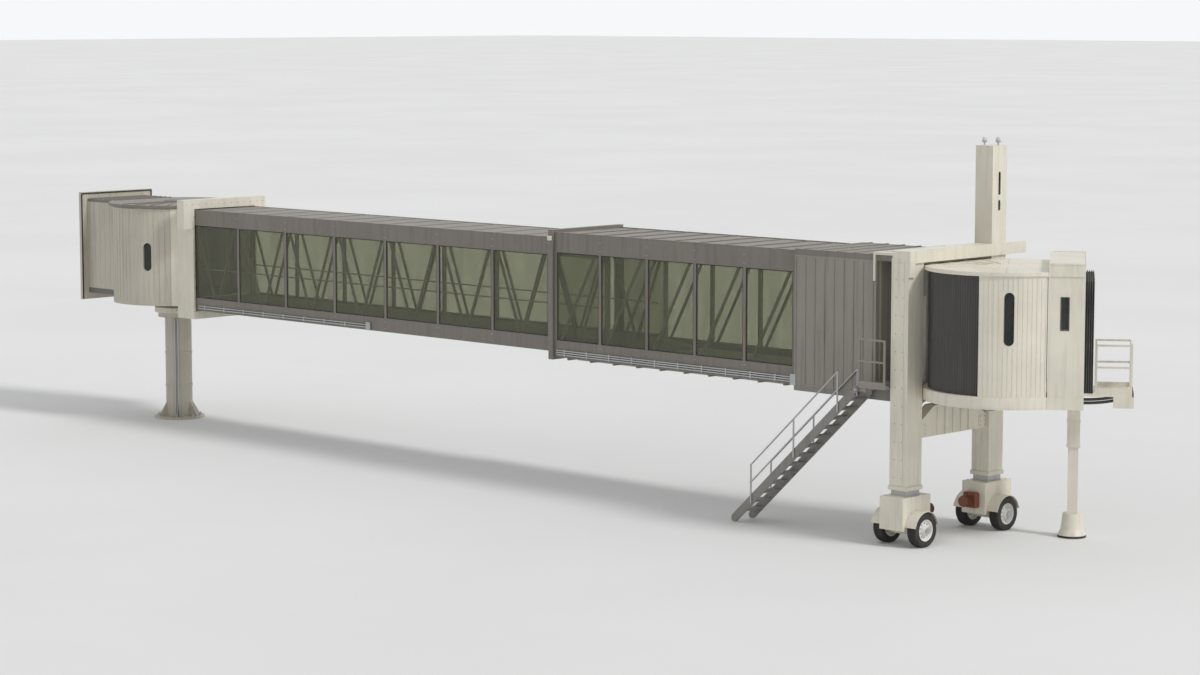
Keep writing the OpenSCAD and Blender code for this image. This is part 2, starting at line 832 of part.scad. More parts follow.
module front_platform() {
  x = [front_x, front_x + plat_l + hood_l];
  z = [b_deck - 100, b_deck];
  post = 2 * rail_r;
  color(paint)
    cab_place() {
      block(x, [-plat_y, plat_y], z);
      block([x[1] - 420, x[1] + 40], [-plat_y, -plat_y + 300], [z[0] - 260, z[0] + eps]);
      both_sides() {
        for (at = [x[0] + hood_l + 60, x[1] - post])
          block([at, at + post], [plat_y - post, plat_y], [z[1] - eps, z[1] + rail_h]);
        for (h = [rail_h - post, rail_h / 2])
          block([x[0] + hood_l + 60, x[1]], [plat_y - post, plat_y], [z[1] + h, z[1] + h + post]);
      }
      for (h = [rail_h - post, rail_h / 2])
        block([x[1] - post, x[1]], [-plat_y, plat_y], [z[1] + h, z[1] + h + post]);
    }
}

// Square sleeve under the far front corner of the cab
module prop_sleeve() {
  color(paint)
    cab_place()
      translate([front_x - 200, front_y - 400, 0])
        difference() {
          block([-prop_w / 2, prop_w / 2], [-prop_w / 2, prop_w / 2], [prop_z, cab_z0]);
          block([30 - prop_w / 2, prop_w / 2 - 30], [30 - prop_w / 2, prop_w / 2 - 30],
            [prop_z - eps, cab_z0 - 30]);
        }
}

module prop_foot() {
  leg = prop_w / 2 - 30 - seat;
  color(paint)
    cab_place()
      translate([front_x - 200, front_y - 400, 0]) {
        block([-leg, leg], [-leg, leg], [foot_h - eps, prop_z + 150]);
        rotate_extrude()
          polygon([[0, 0], [foot_r, 0], [foot_r, 60], [foot_r - 60, 200], [foot_r - 110, foot_h],
            [0, foot_h]]);
      }
}

module stair_place() {
  on_side(-1)
    translate([stair_pin_x, 0, stair_z])
      children();
}

// Two stringers with treads between them, lugs at the head and rollers at the foot
module stair_flight() {
  side = stringer_t;
  depth = 200;
  rise = (stair_z - roller_r) / tread_n;
  run = rise / tan(stair_slope);
  foot = [-stair_l * cos(stair_slope), roller_r - stair_z];
  color(shade)
    stair_place() {
      for (y = [stair_y0, stair_y1 - side])
        difference() {
          union() {
            rotate([0, -stair_slope, 0])
              translate([-stair_l, y, -depth / 2]) cube([stair_l - depth / 2, side, depth]);
            rotate([0, -stair_slope, 0])
              translate([-depth, y, 20 - stair_lug_r])
                cube([depth - 2 * stair_pin_r, side, 2 * stair_lug_r - 40]);
            translate([0, y, 0]) rotate([-90, 0, 0]) cylinder(r = stair_lug_r, h = side);
            translate([foot[0], y, foot[1]])
              rotate([-90, 0, 0]) cylinder(r = roller_r, h = side);
          }
          translate([0, y - eps, 0])
            rotate([-90, 0, 0]) cylinder(r = stair_pin_r + run_fit, h = side + 2 * eps);
          block([-2 * stair_l, 0], [y - eps, y + side + eps], [-stair_z - 500, 10 - stair_z]);
        }
      for (i = [1:tread_n - 1])
        block([-i * run - tread_l / 2, -i * run + tread_l / 2], [stair_y0 + side - eps,
          stair_y1 - side + eps], [-i * rise - 40, -i * rise]);
    }
}

module stair_rails() {
  rise = (stair_z - roller_r) / tread_n;
  run = rise / tan(stair_slope);
  post = 2 * rail_r;
  color(paint)
    stair_place()
      for (y = [stair_y0 - post, stair_y1]) {
        for (i = [2, 7, 12])
          block([-i * run, -i * run + post], [y, y + post], [-i * rise - 60, -i * rise + rail_h - 200]);
        for (h = [rail_h - 244, rail_h / 2 - 120])
          translate([-2 * run, y, -2 * rise + h])
            rotate([0, -stair_slope, 0])
              translate([-10 * run / cos(stair_slope), 2, -post / 2])
                cube([10 * run / cos(stair_slope) + post, post - 4, post]);
      }
}

pedestal_column();
rotunda_floor();
rotunda_roof();
stub_wall(-1);  // stub_wall_near
stub_wall(1);  // stub_wall_far
wall_frame();
swing_frame();
rotunda_wall(-1);  // rotunda_wall_near
rotunda_wall(1);  // rotunda_wall_far
a_floor();
a_roof();
a_truss(-1);  // a_truss_near
a_truss(1);  // a_truss_far
a_glass();
b_floor();
b_roof();
b_truss(-1);  // b_truss_near
b_truss(1);  // b_truss_far
b_glass();
b_rear_frame();
b_panel_near();
b_panel_far();
service_landing();
service_door();
front_frame();
lift_column_near();
lift_column_far();
cross_beam();
cab_cradle();
curtain_near();
curtain_far();
lift_leg(-1);  // lift_leg_near
lift_leg(1);  // lift_leg_far
carriage(-1);  // carriage_near
carriage(1);  // carriage_far
wheel(-1, 1);  // wheel_near_front
wheel(-1, -1);  // wheel_near_back
wheel(1, 1);  // wheel_far_front
wheel(1, -1);  // wheel_far_back
cab_floor();
cab_roof();
cab_wall_near();
cab_wall_far();
cab_front();
cab_glass();
cab_hood();
front_platform();
prop_sleeve();
prop_foot();
stair_flight();
stair_rails();
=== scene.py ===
import bpy
import numpy as np
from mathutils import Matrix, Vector


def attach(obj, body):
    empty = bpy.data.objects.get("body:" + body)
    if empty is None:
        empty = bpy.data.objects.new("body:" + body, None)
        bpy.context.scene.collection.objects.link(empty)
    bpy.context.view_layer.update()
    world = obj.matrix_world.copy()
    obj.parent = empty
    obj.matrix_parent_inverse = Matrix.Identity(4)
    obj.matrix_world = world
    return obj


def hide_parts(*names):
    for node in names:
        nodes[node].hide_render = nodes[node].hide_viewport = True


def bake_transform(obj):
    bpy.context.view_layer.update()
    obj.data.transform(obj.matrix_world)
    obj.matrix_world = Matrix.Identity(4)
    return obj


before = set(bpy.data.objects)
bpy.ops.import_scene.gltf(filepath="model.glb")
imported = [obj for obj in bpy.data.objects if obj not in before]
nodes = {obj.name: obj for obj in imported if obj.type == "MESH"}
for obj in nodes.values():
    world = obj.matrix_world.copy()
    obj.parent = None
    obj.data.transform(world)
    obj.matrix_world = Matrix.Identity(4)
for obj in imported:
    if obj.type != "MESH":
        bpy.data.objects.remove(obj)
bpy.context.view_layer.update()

# Lines of the part that the pieces follow, in metres and degrees
cabCentre = (31.0534, 0.0)
cabTurn = 35.0
bayA = 17.1 / 8
bayB = 8.2 / 5
postsA = 2.2 + bayA * np.arange(9)
postsB = 17.5 + bayB * np.arange(6)
alongX, alongY, upward = (1, 0, 0), (0, 1, 0), (0, 0, 1)


# A shape is a pair: its points, and arrays of corner indices that run round each face
def buildBoxFaces():
    # corner c = x + 2y + 4z, three points a corner, one on each of its faces
    corner = np.array([[x, y, z] for z in (-1, 1) for y in (-1, 1) for x in (-1, 1)], float)
    points = np.repeat(corner, 3, 0) * (0.8 + 0.2 * np.tile(np.eye(3), (8, 1)))
    quads, tris = [], [[3 * c, 3 * c + 1, 3 * c + 2] for c in range(8)]
    for a in range(3):
        b, d = [i for i in range(3) if i != a]
        for s in (0, 1):
            at = [s << a, s << a | 1 << b, s << a | 1 << b | 1 << d, s << a | 1 << d]
            quads.append([3 * c + a for c in at])
        for m in range(4):
            low = (m & 1) << b | (m >> 1) << d
            high = low | 1 << a
            quads.append([3 * low + b, 3 * high + b, 3 * high + d, 3 * low + d])
    out = []
    for faces in (quads, tris):
        faces = np.array(faces)
        p = points[faces]
        normal = np.cross(p[:, 1] - p[:, 0], p[:, 2] - p[:, 0])
        back = np.einsum("ij,ij->i", normal, p.mean(1)) < 0
        faces[back] = faces[back][:, ::-1]
        out.append(faces)
    return corner, out


boxCorners, boxFaces = buildBoxFaces()


def spots(x, y, z):
    # places from any mix of single numbers and rows of numbers
    return np.stack(np.broadcast_arrays(x, y, z), -1).astype(float)


def onRing(radius, degrees, z=0.0):
    # p = (r cos t, r sin t, z)
    t = np.radians(degrees)
    return spots(radius * np.cos(t), radius * np.sin(t), z)


def boxes(low, high, chamfer=0.004):
    # p = c + s (h - k (1 - e)): corner signs s, half sizes h, chamfer k, face axis e
    low, high = np.atleast_2d(np.array(low, float)), np.atleast_2d(np.array(high, float))
    low, high = np.broadcast_arrays(low, high)
    centre, half = (low + high) / 2, (high - low) / 2
    cut = np.minimum(chamfer, 0.4 * half.min(1))[:, None, None, None]
    axis = np.eye(3)[None, None]
    reach = half[:, None, None, :] - cut * (1 - axis)
    points = centre[:, None, None, :] + boxCorners[None, :, None, :] * reach
    step = (24 * np.arange(len(low)))[:, None, None]
    return points.reshape(-1, 3), [(f[None] + step).reshape(-1, f.shape[1]) for f in boxFaces]


def circle(u, v, radius, sides):
    # r (u cos t + v sin t) for each pair of side vectors u, v
    t = 2 * np.pi * np.arange(sides) / sides
    return radius * (u[:, None] * np.cos(t)[None, :, None] + v[:, None] * np.sin(t)[None, :, None])


def unit(vectors):
    return vectors / np.linalg.norm(vectors, axis=1)[:, None]


def tubes(start, end, radius, sides=10):
    # p = q + r (u cos t + v sin t), u and v square to the tube's line
    start, end = np.atleast_2d(np.array(start, float)), np.atleast_2d(np.array(end, float))
    start, end = np.broadcast_arrays(start, end)
    along = unit(end - start)
    helper = np.where(np.abs(along[:, 2:]) < 0.9, [[0.0, 0.0, 1.0]], [[1.0, 0.0, 0.0]])
    u = unit(np.cross(helper, along))
    ring = circle(u, np.cross(along, u), radius, sides)
    points = np.stack([start[:, None] + ring, end[:, None] + ring], 1).reshape(-1, 3)
    i = np.arange(sides)
    j = (i + 1) % sides
    side = np.stack([i, j, j + sides, i + sides], 1)
    step = (2 * sides * np.arange(len(start)))[:, None, None]
    caps = np.stack([i[::-1], i + sides])
    return points, [(side[None] + step).reshape(-1, 4), (caps[None] + step).reshape(-1, sides)]


def sweep(path, radius, sides=12, closed=False):
    # a tube along a flat path: p = q + r (u cos t + v sin t), u square to the path's plane
    path = np.array(path, float)
    n = len(path)
    if closed:
        along = unit(np.roll(path, -1, 0) - np.roll(path, 1, 0))
    else:
        along = unit(np.gradient(path, axis=0))
    square = np.linalg.svd(path - path.mean(0))[2][2]
    u = unit(square - along * (along @ square)[:, None])
    points = path[:, None] + circle(u, np.cross(along, u), radius, sides)
    row = np.arange(n if closed else n - 1)[:, None]
    i = np.arange(sides)[None]
    nextRow, j = (row + 1) % n, (i + 1) % sides
    side = np.stack([row * sides + i, row * sides + j, nextRow * sides + j, nextRow * sides + i], 2)
    groups = [side.reshape(-1, 4)]
    if not closed:
        groups.append(np.stack([np.arange(sides)[::-1], (n - 1) * sides + np.arange(sides)]))
    return points.reshape(-1, 3), groups


def turnProfile(profile, angles, full=False):
    # p = (r cos t, r sin t, z): a closed outline [r, z] turned round the upright axis
    profile, angles = np.array(profile, float), np.radians(np.array(angles, float))
    m, n = len(profile), len(angles)
    r, z = profile[None, :, 0], profile[None, :, 1]
    c, s = np.cos(angles)[:, None], np.sin(angles)[:, None]
    points = np.stack([r * c, r * s, z + 0 * c], 2).reshape(-1, 3)
    row = np.arange(n if full else n - 1)[:, None]
    i = np.arange(m)[None]
    nextRow, j = (row + 1) % n, (i + 1) % m
    side = np.stack([row * m + i, nextRow * m + i, nextRow * m + j, row * m + j], 2)
    groups = [side.reshape(-1, 4)]
    if not full:
        groups.append(np.stack([np.arange(m), (n - 1) * m + np.arange(m)[::-1]]))
    return points, groups


def spin(profile, step):
    # the outline turned all the way round, one copy each step of degrees
    return turnProfile(profile, np.arange(0, 360, step), True)


def bead(inner, outer, low, high, bevel=0.004):
    # outline of a flat band whose two outer corners slope
    return [(inner, low), (outer, low + bevel), (outer, high - bevel), (inner, high)]


def turned(shape, degrees, about=(0.0, 0.0)):
    # p = c + (x cos a - y sin a, x sin a + y cos a); one angle, or one for each point
    a = np.radians(degrees)
    x, y, z = shape[0].T
    points = spots(np.cos(a) * x - np.sin(a) * y + about[0],
                   np.sin(a) * x + np.cos(a) * y + about[1], z)
    return points, shape[1]


def ringBoxes(angles, low, high, chamfer=0.003):
    # boxes drawn on the +X side, each then turned to its own angle
    angles = np.atleast_1d(np.array(angles, float))
    low = np.broadcast_to(np.array(low, float), (len(angles), 3))
    return turned(boxes(low, high, chamfer), np.repeat(angles, 24))


def bolts(places, outward, radius=0.014, height=0.01):
    # six-sided heads that start 4 mm under the surface
    places, outward = np.atleast_2d(np.array(places, float)), np.array(outward, float)
    return tubes(places - 0.004 * outward, places + height * outward, radius, 6)


def joined(*shapes):
    points, groups, step = [], [], 0
    for p, g in shapes:
        points.append(p)
        groups += [f + step for f in g]
        step += len(p)
    return np.concatenate(points), groups


def moved(shape, by):
    return shape[0] + np.array(by, float), shape[1]


def mirrored(shape):
    # y turned to -y, with each face run round the other way
    return shape[0] * [1, -1, 1], [f[:, ::-1] for f in shape[1]]


def bothSides(shape):
    return joined(shape, mirrored(shape))


def onCab(shape):
    return turned(shape, cabTurn, cabCentre)


def layOnX(shape, centre):
    # the upright axis of a turned shape laid along X, at a centre
    x, y, z = shape[0].T
    return spots(z, y, -x) + np.array(centre, float), shape[1]


def slotOutline(width, height, count=10):
    # two half circles of radius w / 2, h - w apart: points as (across, up)
    t = np.linspace(0, np.pi, count)
    top = np.stack([width / 2 * np.cos(t), width / 2 * np.sin(t) + (height - width) / 2], 1)
    rise = np.linspace(0, 1, 6)[1:-1, None]
    half = np.concatenate([top, top[-1] + rise * (-top[0] - top[-1])])
    return np.concatenate([half, -half])


def gasket(s):
    # a round strip along the slot's outline, stood on the wall at its angle
    outline = slotOutline(*s["opening"])
    path = spots(s["radius"], outline[:, 0], outline[:, 1] + s["z"])
    return turned(sweep(path, s["thick"], 8, closed=True), s["angle"])


# Materials: all patterns read object coordinates
def newMaterial(name):
    mat = bpy.data.materials.new(name)
    mat.use_nodes = True
    tree = mat.node_tree
    return mat, tree, tree.nodes["Principled BSDF"]


def addNode(tree, kind, **values):
    node = tree.nodes.new(kind)
    for key, value in values.items():
        setattr(node, key, value)
    return node


def addPlace(tree, location=(0.0, 0.0, 0.0), stretch=(1.0, 1.0, 1.0)):
    coords = addNode(tree, "ShaderNodeTexCoord")
    place = addNode(tree, "ShaderNodeMapping")
    place.inputs["Location"].default_value = location
    place.inputs["Scale"].default_value = stretch
    tree.links.new(coords.outputs["Object"], place.inputs["Vector"])
    return place.outputs["Vector"]


def addNoise(tree, scale, stretch=(1, 1, 1), detail=4.0, rough=0.6):
    # centred near the middle of the bridge
    centre = (-15.5 * stretch[0], 0, -4.0 * stretch[2])
    noise = addNode(tree, "ShaderNodeTexNoise")
    for key, number in (("Scale", scale), ("Detail", detail), ("Roughness", rough)):
        noise.inputs[key].default_value = number
    tree.links.new(addPlace(tree, centre, stretch), noise.inputs["Vector"])
    return noise.outputs["Fac"]


def addRange(tree, value, low, high, outLow, outHigh):
    node = addNode(tree, "ShaderNodeMapRange")
    limits = {"From Min": low, "From Max": high, "To Min": outLow, "To Max": outHigh}
    for key, number in limits.items():
        node.inputs[key].default_value = number
    tree.links.new(value, node.inputs["Value"])
    return node.outputs["Result"]


def addMix(tree, factor, one, other):
    node = addNode(tree, "ShaderNodeMix", data_type="RGBA")
    tree.links.new(factor, node.inputs["Factor"])
    for socket, value in ((node.inputs["A"], one), (node.inputs["B"], other)):
        if hasattr(value, "is_linked"):
            tree.links.new(value, socket)
        else:
            socket.default_value = (*value, 1)
    return node.outputs["Result"]


def addMath(tree, operation, one, other):
    node = addNode(tree, "ShaderNodeMath", operation=operation)
    tree.links.new(one, node.inputs[0])
    tree.links.new(other, node.inputs[1])
    return node.outputs["Value"]


def addEdgeMask(tree, width):
    # 1 where the rounded normal leaves the face's own, at an edge
    soft = addNode(tree, "ShaderNodeBevel", samples=3)
    soft.inputs["Radius"].default_value = width
    plain = addNode(tree, "ShaderNodeNewGeometry")
    dot = addNode(tree, "ShaderNodeVectorMath", operation="DOT_PRODUCT")
    tree.links.new(soft.outputs["Normal"], dot.inputs[0])
    tree.links.new(plain.outputs["Normal"], dot.inputs[1])
    return addRange(tree, dot.outputs["Value"], 0.995, 0.86, 0.0, 1.0)


def addBump(tree, shader, height, strength, distance):
    bump = addNode(tree, "ShaderNodeBump")
    bump.inputs["Strength"].default_value = strength
    bump.inputs["Distance"].default_value = distance
    tree.links.new(height, bump.inputs["Height"])
    tree.links.new(bump.outputs["Normal"], shader.inputs["Normal"])


# Noise scales of cloudy patches, chips and grain, and the stretch of the rain streaks
wear = {"patches": 0.7, "streaks": (9, 9, 0.5), "chips": 14.0, "grain": 60.0, "grainDepth": 0.002}


def paintMaterial(name, look):
    mat, tree, shader = newMaterial(name)
    base = np.array(look["colour"])
    patches = addRange(tree, addNoise(tree, wear["patches"]), 0.35, 0.65, 0, 1)
    colour = addMix(tree, patches, tuple(base * 0.93), tuple(np.minimum(base * 1.04, 1)))
    streaks = addNoise(tree, 1.0, wear["streaks"], 5.0)
    streaks = addRange(tree, streaks, 0.5, 0.78, 0, look["streaks"])
    colour = addMix(tree, streaks, colour, look["dirt"])
    chips = addNoise(tree, wear["chips"], detail=6.0, rough=0.7)
    worn = addMath(tree, "MULTIPLY", addRange(tree, chips, 0.5, 0.62, 0, look["wear"]),
                   addEdgeMask(tree, look["edge"]))
    tree.links.new(addMix(tree, worn, colour, look["bare"]), shader.inputs["Base Color"])
    rough = addRange(tree, chips, 0.3, 0.7, look["rough"] - 0.08, look["rough"] + 0.1)
    tree.links.new(rough, shader.inputs["Roughness"])
    shader.inputs["Metallic"].default_value = look.get("metal", 0.0)
    addBump(tree, shader, addNoise(tree, wear["grain"], detail=3.0), 0.12,
            look.get("grain", wear["grainDepth"]))
    return mat


def glassMaterial(name, look):
    # a dusty film on the glass; "body" is the share of the look that isn't seen through
    mat, tree, shader = newMaterial(name)
    film = addRange(tree, addNoise(tree, 1.2, (2, 2, 0.6), 5.0), 0.4, 0.75, 0, 1)
    tree.links.new(addMix(tree, film, look["colour"], look["film"]), shader.inputs["Base Color"])
    tree.links.new(addRange(tree, film, 0, 1, look["rough"], look["rough"] + 0.12),
                   shader.inputs["Roughness"])
    shader.inputs["IOR"].default_value = 1.45
    addBump(tree, shader, addNoise(tree, 0.9, detail=1.0), 0.05, 0.01)
    # light passes straight through the tint, so that what stands behind is lit and seen
    through = addNode(tree, "ShaderNodeBsdfTransparent")
    through.inputs["Color"].default_value = (*look["tint"], 1)
    both = addNode(tree, "ShaderNodeMixShader")
    body = addRange(tree, film, 0, 1, look["body"], look["body"] + 0.14)
    tree.links.new(body, both.inputs["Fac"])
    tree.links.new(through.outputs["BSDF"], both.inputs[1])
    tree.links.new(shader.outputs["BSDF"], both.inputs[2])
    tree.links.new(both.outputs["Shader"], tree.nodes["Material Output"].inputs["Surface"])
    return mat


def clothMaterial(name, look):
    # coated cloth: dust in patches, and a fine square weave as bump
    mat, tree, shader = newMaterial(name)
    dust = addRange(tree, addNoise(tree, 3.0, detail=5.0), 0.4, 0.7, 0, 1)
    tree.links.new(addMix(tree, dust, look["colour"], look["dust"]), shader.inputs["Base Color"])
    tree.links.new(addRange(tree, dust, 0, 1, 0.62, 0.85), shader.inputs["Roughness"])
    shader.inputs["Sheen Weight"].default_value = 0.25
    place, threads = addPlace(tree), []
    for axis in ("X", "Z"):
        wave = addNode(tree, "ShaderNodeTexWave", wave_type="BANDS", bands_direction=axis)
        wave.inputs["Scale"].default_value = look["weave"]
        tree.links.new(place, wave.inputs["Vector"])
        threads.append(wave.outputs["Fac"])
    addBump(tree, shader, addMath(tree, "ADD", *threads), 0.3, 0.001)
    return mat


looks = {
    "cream": {"colour": (0.76, 0.72, 0.61), "dirt": (0.36, 0.31, 0.24), "bare": (0.42, 0.36, 0.30),
              "streaks": 0.34, "wear": 0.7, "edge": 0.012, "rough": 0.46},
    # a darker copy of the cream: painted shade on the rotunda, the corridor stub, the pedestal and
    # the closed part's door wall
    "creamInPaintedShade": {"colour": (0.55, 0.51, 0.43), "dirt": (0.24, 0.21, 0.17),
                   "bare": (0.36, 0.31, 0.26), "streaks": 0.42, "wear": 0.7, "edge": 0.012,
                   "rough": 0.5},
    "band": {"colour": (0.21, 0.19, 0.165), "dirt": (0.10, 0.09, 0.075), "bare": (0.34, 0.31, 0.28),
             "streaks": 0.5, "wear": 0.6, "edge": 0.010, "rough": 0.48},
    "panel": {"colour": (0.30, 0.28, 0.245), "dirt": (0.13, 0.115, 0.095),
              "bare": (0.40, 0.36, 0.32), "streaks": 0.5, "wear": 0.6, "edge": 0.010, "rough": 0.5},
    "steel": {"colour": (0.26, 0.25, 0.23), "dirt": (0.12, 0.095, 0.07), "bare": (0.30, 0.17, 0.10),
              "streaks": 0.55, "wear": 0.8, "edge": 0.012, "rough": 0.55, "grain": 0.003},
    "zinc": {"colour": (0.46, 0.47, 0.47), "dirt": (0.26, 0.25, 0.23), "bare": (0.6, 0.6, 0.6),
             "streaks": 0.3, "wear": 0.5, "edge": 0.006, "rough": 0.42, "metal": 0.7},
    # near black: painted shade on the cab's slat curtains, the shaded part of one slatted wall; the
    # platform's arms take it too
    "slats": {"colour": (0.055, 0.052, 0.05), "dirt": (0.14, 0.125, 0.105),
              "bare": (0.2, 0.19, 0.18), "streaks": 0.4, "wear": 0.5, "edge": 0.005, "rough": 0.5},
    "rubber": {"colour": (0.028, 0.027, 0.026), "dirt": (0.13, 0.115, 0.095),
               "bare": (0.08, 0.075, 0.07), "streaks": 0.35, "wear": 0.5, "edge": 0.010,
               "rough": 0.78, "grain": 0.004},
    "rim": {"colour": (0.80, 0.79, 0.75), "dirt": (0.30, 0.25, 0.19), "bare": (0.36, 0.24, 0.16),
            "streaks": 0.45, "wear": 0.8, "edge": 0.008, "rough": 0.45},
    "primer": {"colour": (0.23, 0.075, 0.045), "dirt": (0.10, 0.07, 0.05),
               "bare": (0.30, 0.17, 0.11), "streaks": 0.4, "wear": 0.6, "edge": 0.008,
               "rough": 0.55},
    "flooring": {"colour": (0.17, 0.165, 0.15), "dirt": (0.10, 0.09, 0.08),
                 "bare": (0.25, 0.24, 0.22), "streaks": 0.25, "wear": 0.3, "edge": 0.008,
                 "rough": 0.7, "grain": 0.004},
    "lining": {"colour": (0.70, 0.69, 0.65), "dirt": (0.48, 0.45, 0.40), "bare": (0.5, 0.5, 0.48),
               "streaks": 0.15, "wear": 0.2, "edge": 0.006, "rough": 0.5},
}
glassLooks = {
    "greenGlass": {"colour": (0.27, 0.275, 0.21), "film": (0.22, 0.225, 0.17),
                   "tint": (0.83, 0.84, 0.76), "rough": 0.05, "body": 0.20},
    "darkGlass": {"colour": (0.05, 0.06, 0.06), "film": (0.09, 0.09, 0.08),
                  "tint": (0.40, 0.42, 0.42), "rough": 0.05, "body": 0.45},
    "lampGlass": {"colour": (0.8, 0.8, 0.76), "film": (0.6, 0.58, 0.5),
                  "tint": (0.9, 0.9, 0.86), "rough": 0.15, "body": 0.7},
}
clothLook = {"colour": (0.035, 0.035, 0.036), "dust": (0.085, 0.08, 0.072), "weave": 90.0}

paints = {key: paintMaterial(key, look) for key, look in looks.items()}
paints.update({key: glassMaterial(key, look) for key, look in glassLooks.items()})
paints["hoodCloth"] = clothMaterial("hoodCloth", clothLook)
print("materials made")

nodePaints = {
    "cream": ["swing_frame", "front_frame", "lift_column_near", "lift_column_far", "cross_beam",
              "cab_floor", "cab_roof", "cab_wall_near", "cab_wall_far", "cab_front",
              "front_platform", "prop_sleeve", "prop_foot", "carriage_near", "carriage_far"],
    # these parts take the darker cream, which stands in for the shade on them: painted shade
    "creamInPaintedShade": ["rotunda_wall_near", "rotunda_wall_far", "stub_wall_near", "stub_wall_far",
                   "wall_frame", "service_door", "pedestal_column"],
    "band": ["a_roof", "b_roof", "a_truss_near", "a_truss_far", "b_truss_near", "b_truss_far",
             "b_rear_frame", "rotunda_roof"],
    "panel": ["b_panel_near", "b_panel_far", "service_landing"],
    "steel": ["b_floor", "cab_cradle", "stair_flight"],
    "flooring": ["a_floor", "rotunda_floor"],
    "zinc": ["lift_leg_near", "lift_leg_far"],
    "greenGlass": ["a_glass", "b_glass"],
    "darkGlass": ["cab_glass"],
}
for paint, names in nodePaints.items():
    for name in names:
        for slot in nodes[name].material_slots:
            slot.material = paints[paint]


def addObject(name, data):
    thing = bpy.data.objects.new(name, data)
    bpy.context.scene.collection.objects.link(thing)
    return thing


def addPiece(name, parts, body, smooth=30):
    # parts: [(shape, paint name)], joined into one mesh with a slot for each paint
    mesh = bpy.data.meshes.new(name)
    points, groups = joined(*[shape for shape, _ in parts])
    index = np.concatenate([np.full(sum(len(f) for f in shape[1]), i)
                            for i, (shape, _) in enumerate(parts)])
    corners = np.concatenate([f.ravel() for f in groups])
    counts = np.concatenate([np.full(len(f), f.shape[1]) for f in groups])
    mesh.vertices.add(len(points))
    mesh.vertices.foreach_set("co", points.astype(np.float32).ravel())
    mesh.loops.add(len(corners))
    mesh.loops.foreach_set("vertex_index", corners.astype(np.int32))
    mesh.polygons.add(len(counts))
    mesh.polygons.foreach_set("loop_start", (np.cumsum(counts) - counts).astype(np.int32))
    for _, paint in parts:
        mesh.materials.append(paints[paint])
    mesh.update(calc_edges=True)
    mesh.polygons.foreach_set("material_index", index.astype(np.int32))
    mesh.polygons.foreach_set("use_smooth", np.ones(len(counts), bool))
    mesh.set_sharp_from_angle(angle=np.radians(smooth))
    mesh.validate()
    piece = addObject(name, mesh)
    if body:
        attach(piece, body)
    return piece


# Rotunda: seams on its walls, a slot window a side, and bolts on the swinging frame
rotunda = {"radius": 1.98, "ribFrom": 43.6, "ribTo": 111.4, "ribs": 15, "ribHalf": 0.008,
           "proud": 0.010, "slotAt": 64.0, "slotClear": 4.6, "slotLow": 4.62, "slotHigh": 5.50,
           "low": 3.70, "high": 6.42, "beadR": (1.979, 1.988),
           "beadTurn": (43.2, 111.8, 60), "beads": [(3.63, 3.694), (6.43, 6.49)]}
rotundaWindow = {"pane": [(1.944, -0.109, 4.662), (1.952, 0.109, 5.458)],
                 "seal": {"opening": (0.228, 0.808), "radius": 1.982, "angle": 64.0, "z": 5.06,
                          "thick": 0.010}}
swingBolts = {"x": 2.352, "sideY": (-1.18, 1.18), "sideZ": (3.5, 6.3, 9),
              "headY": (-1.45, 1.45, 13), "headZ": 6.665}


def wallRibs(s):
    # one upright rib a step; a rib that meets the window stops below it and starts above it
    at = np.linspace(s["ribFrom"], s["ribTo"], s["ribs"])
    hit = np.abs(at - s["slotAt"]) < s["slotClear"]
    spans = [(at[~hit], s["low"], s["high"]), (at[hit], s["low"], s["slotLow"]),
             (at[hit], s["slotHigh"], s["high"])]
    inner, outer, half = s["radius"] - 0.002, s["radius"] + s["proud"], s["ribHalf"]
    return joined(*[ringBoxes(turn, (inner, -half, low), (outer, half, high))
                    for turn, low, high in spans if len(turn)])


beads = [turnProfile(bead(*rotunda["beadR"], *z), np.linspace(*rotunda["beadTurn"]))
         for z in rotunda["beads"]]
# the seams take the darker cream, painted shade of the rotunda wall
addPiece("rotundaSeams", [(bothSides(joined(wallRibs(rotunda), *beads)), "creamInPaintedShade")], "swing")
pane = ringBoxes([rotunda["slotAt"]], *rotundaWindow["pane"], 0.002)
addPiece("rotundaPanes", [(bothSides(pane), "darkGlass"),
                          (bothSides(gasket(rotundaWindow["seal"])), "rubber")], "swing")
s = swingBolts
sideBolts = [bolts(spots(s["x"], y, np.linspace(*s["sideZ"])), alongX) for y in s["sideY"]]
headBolts = bolts(spots(s["x"], np.linspace(*s["headY"]), s["headZ"]), alongX)
addPiece("rotundaBolts", [(joined(*sideBolts, headBolts), "zinc")], "swing")

# Pedestal: anchor studs with washers and nuts, two collars and two drain pipes
pedestal = {"studAt": 0.65, "studs": 12, "studR": 0.015, "studZ": (0.002, 0.14),
            "washerR": 0.036, "washerZ": (0.0605, 0.066), "nutR": 0.027, "nutZ": (0.066, 0.094),
            "collarR": (0.399, 0.412), "collarZ": (1.0, 2.0), "collarHalf": 0.03,
            "pipeAt": 0.43, "pipeTurn": (-52, -40), "pipeR": 0.022, "pipeZ": (0.07, 3.04)}


def uprights(s, name, radius, degrees, sides):
    # tubes that stand on a ring, from one height to another
    low, high = s[name + "Z"]
    return tubes(onRing(radius, degrees, low), onRing(radius, degrees, high), s[name + "R"], sides)


s = pedestal
around = np.arange(s["studs"]) * (360.0 / s["studs"])
studs = [uprights(s, name, s["studAt"], around, sides)
         for name, sides in (("stud", 10), ("washer", 20), ("nut", 6))]
collars = [spin(bead(*s["collarR"], z - s["collarHalf"], z + s["collarHalf"], 0.003), 7.5)
           for z in s["collarZ"]]
pipes = uprights(s, "pipe", s["pipeAt"], s["pipeTurn"], 12)
# the collars take the darker cream, painted shade of the pedestal
addPiece("pedestalFittings", [(joined(*studs), "zinc"), (joined(*collars), "creamInPaintedShade"),
                              (pipes, "zinc")], "pedestal")

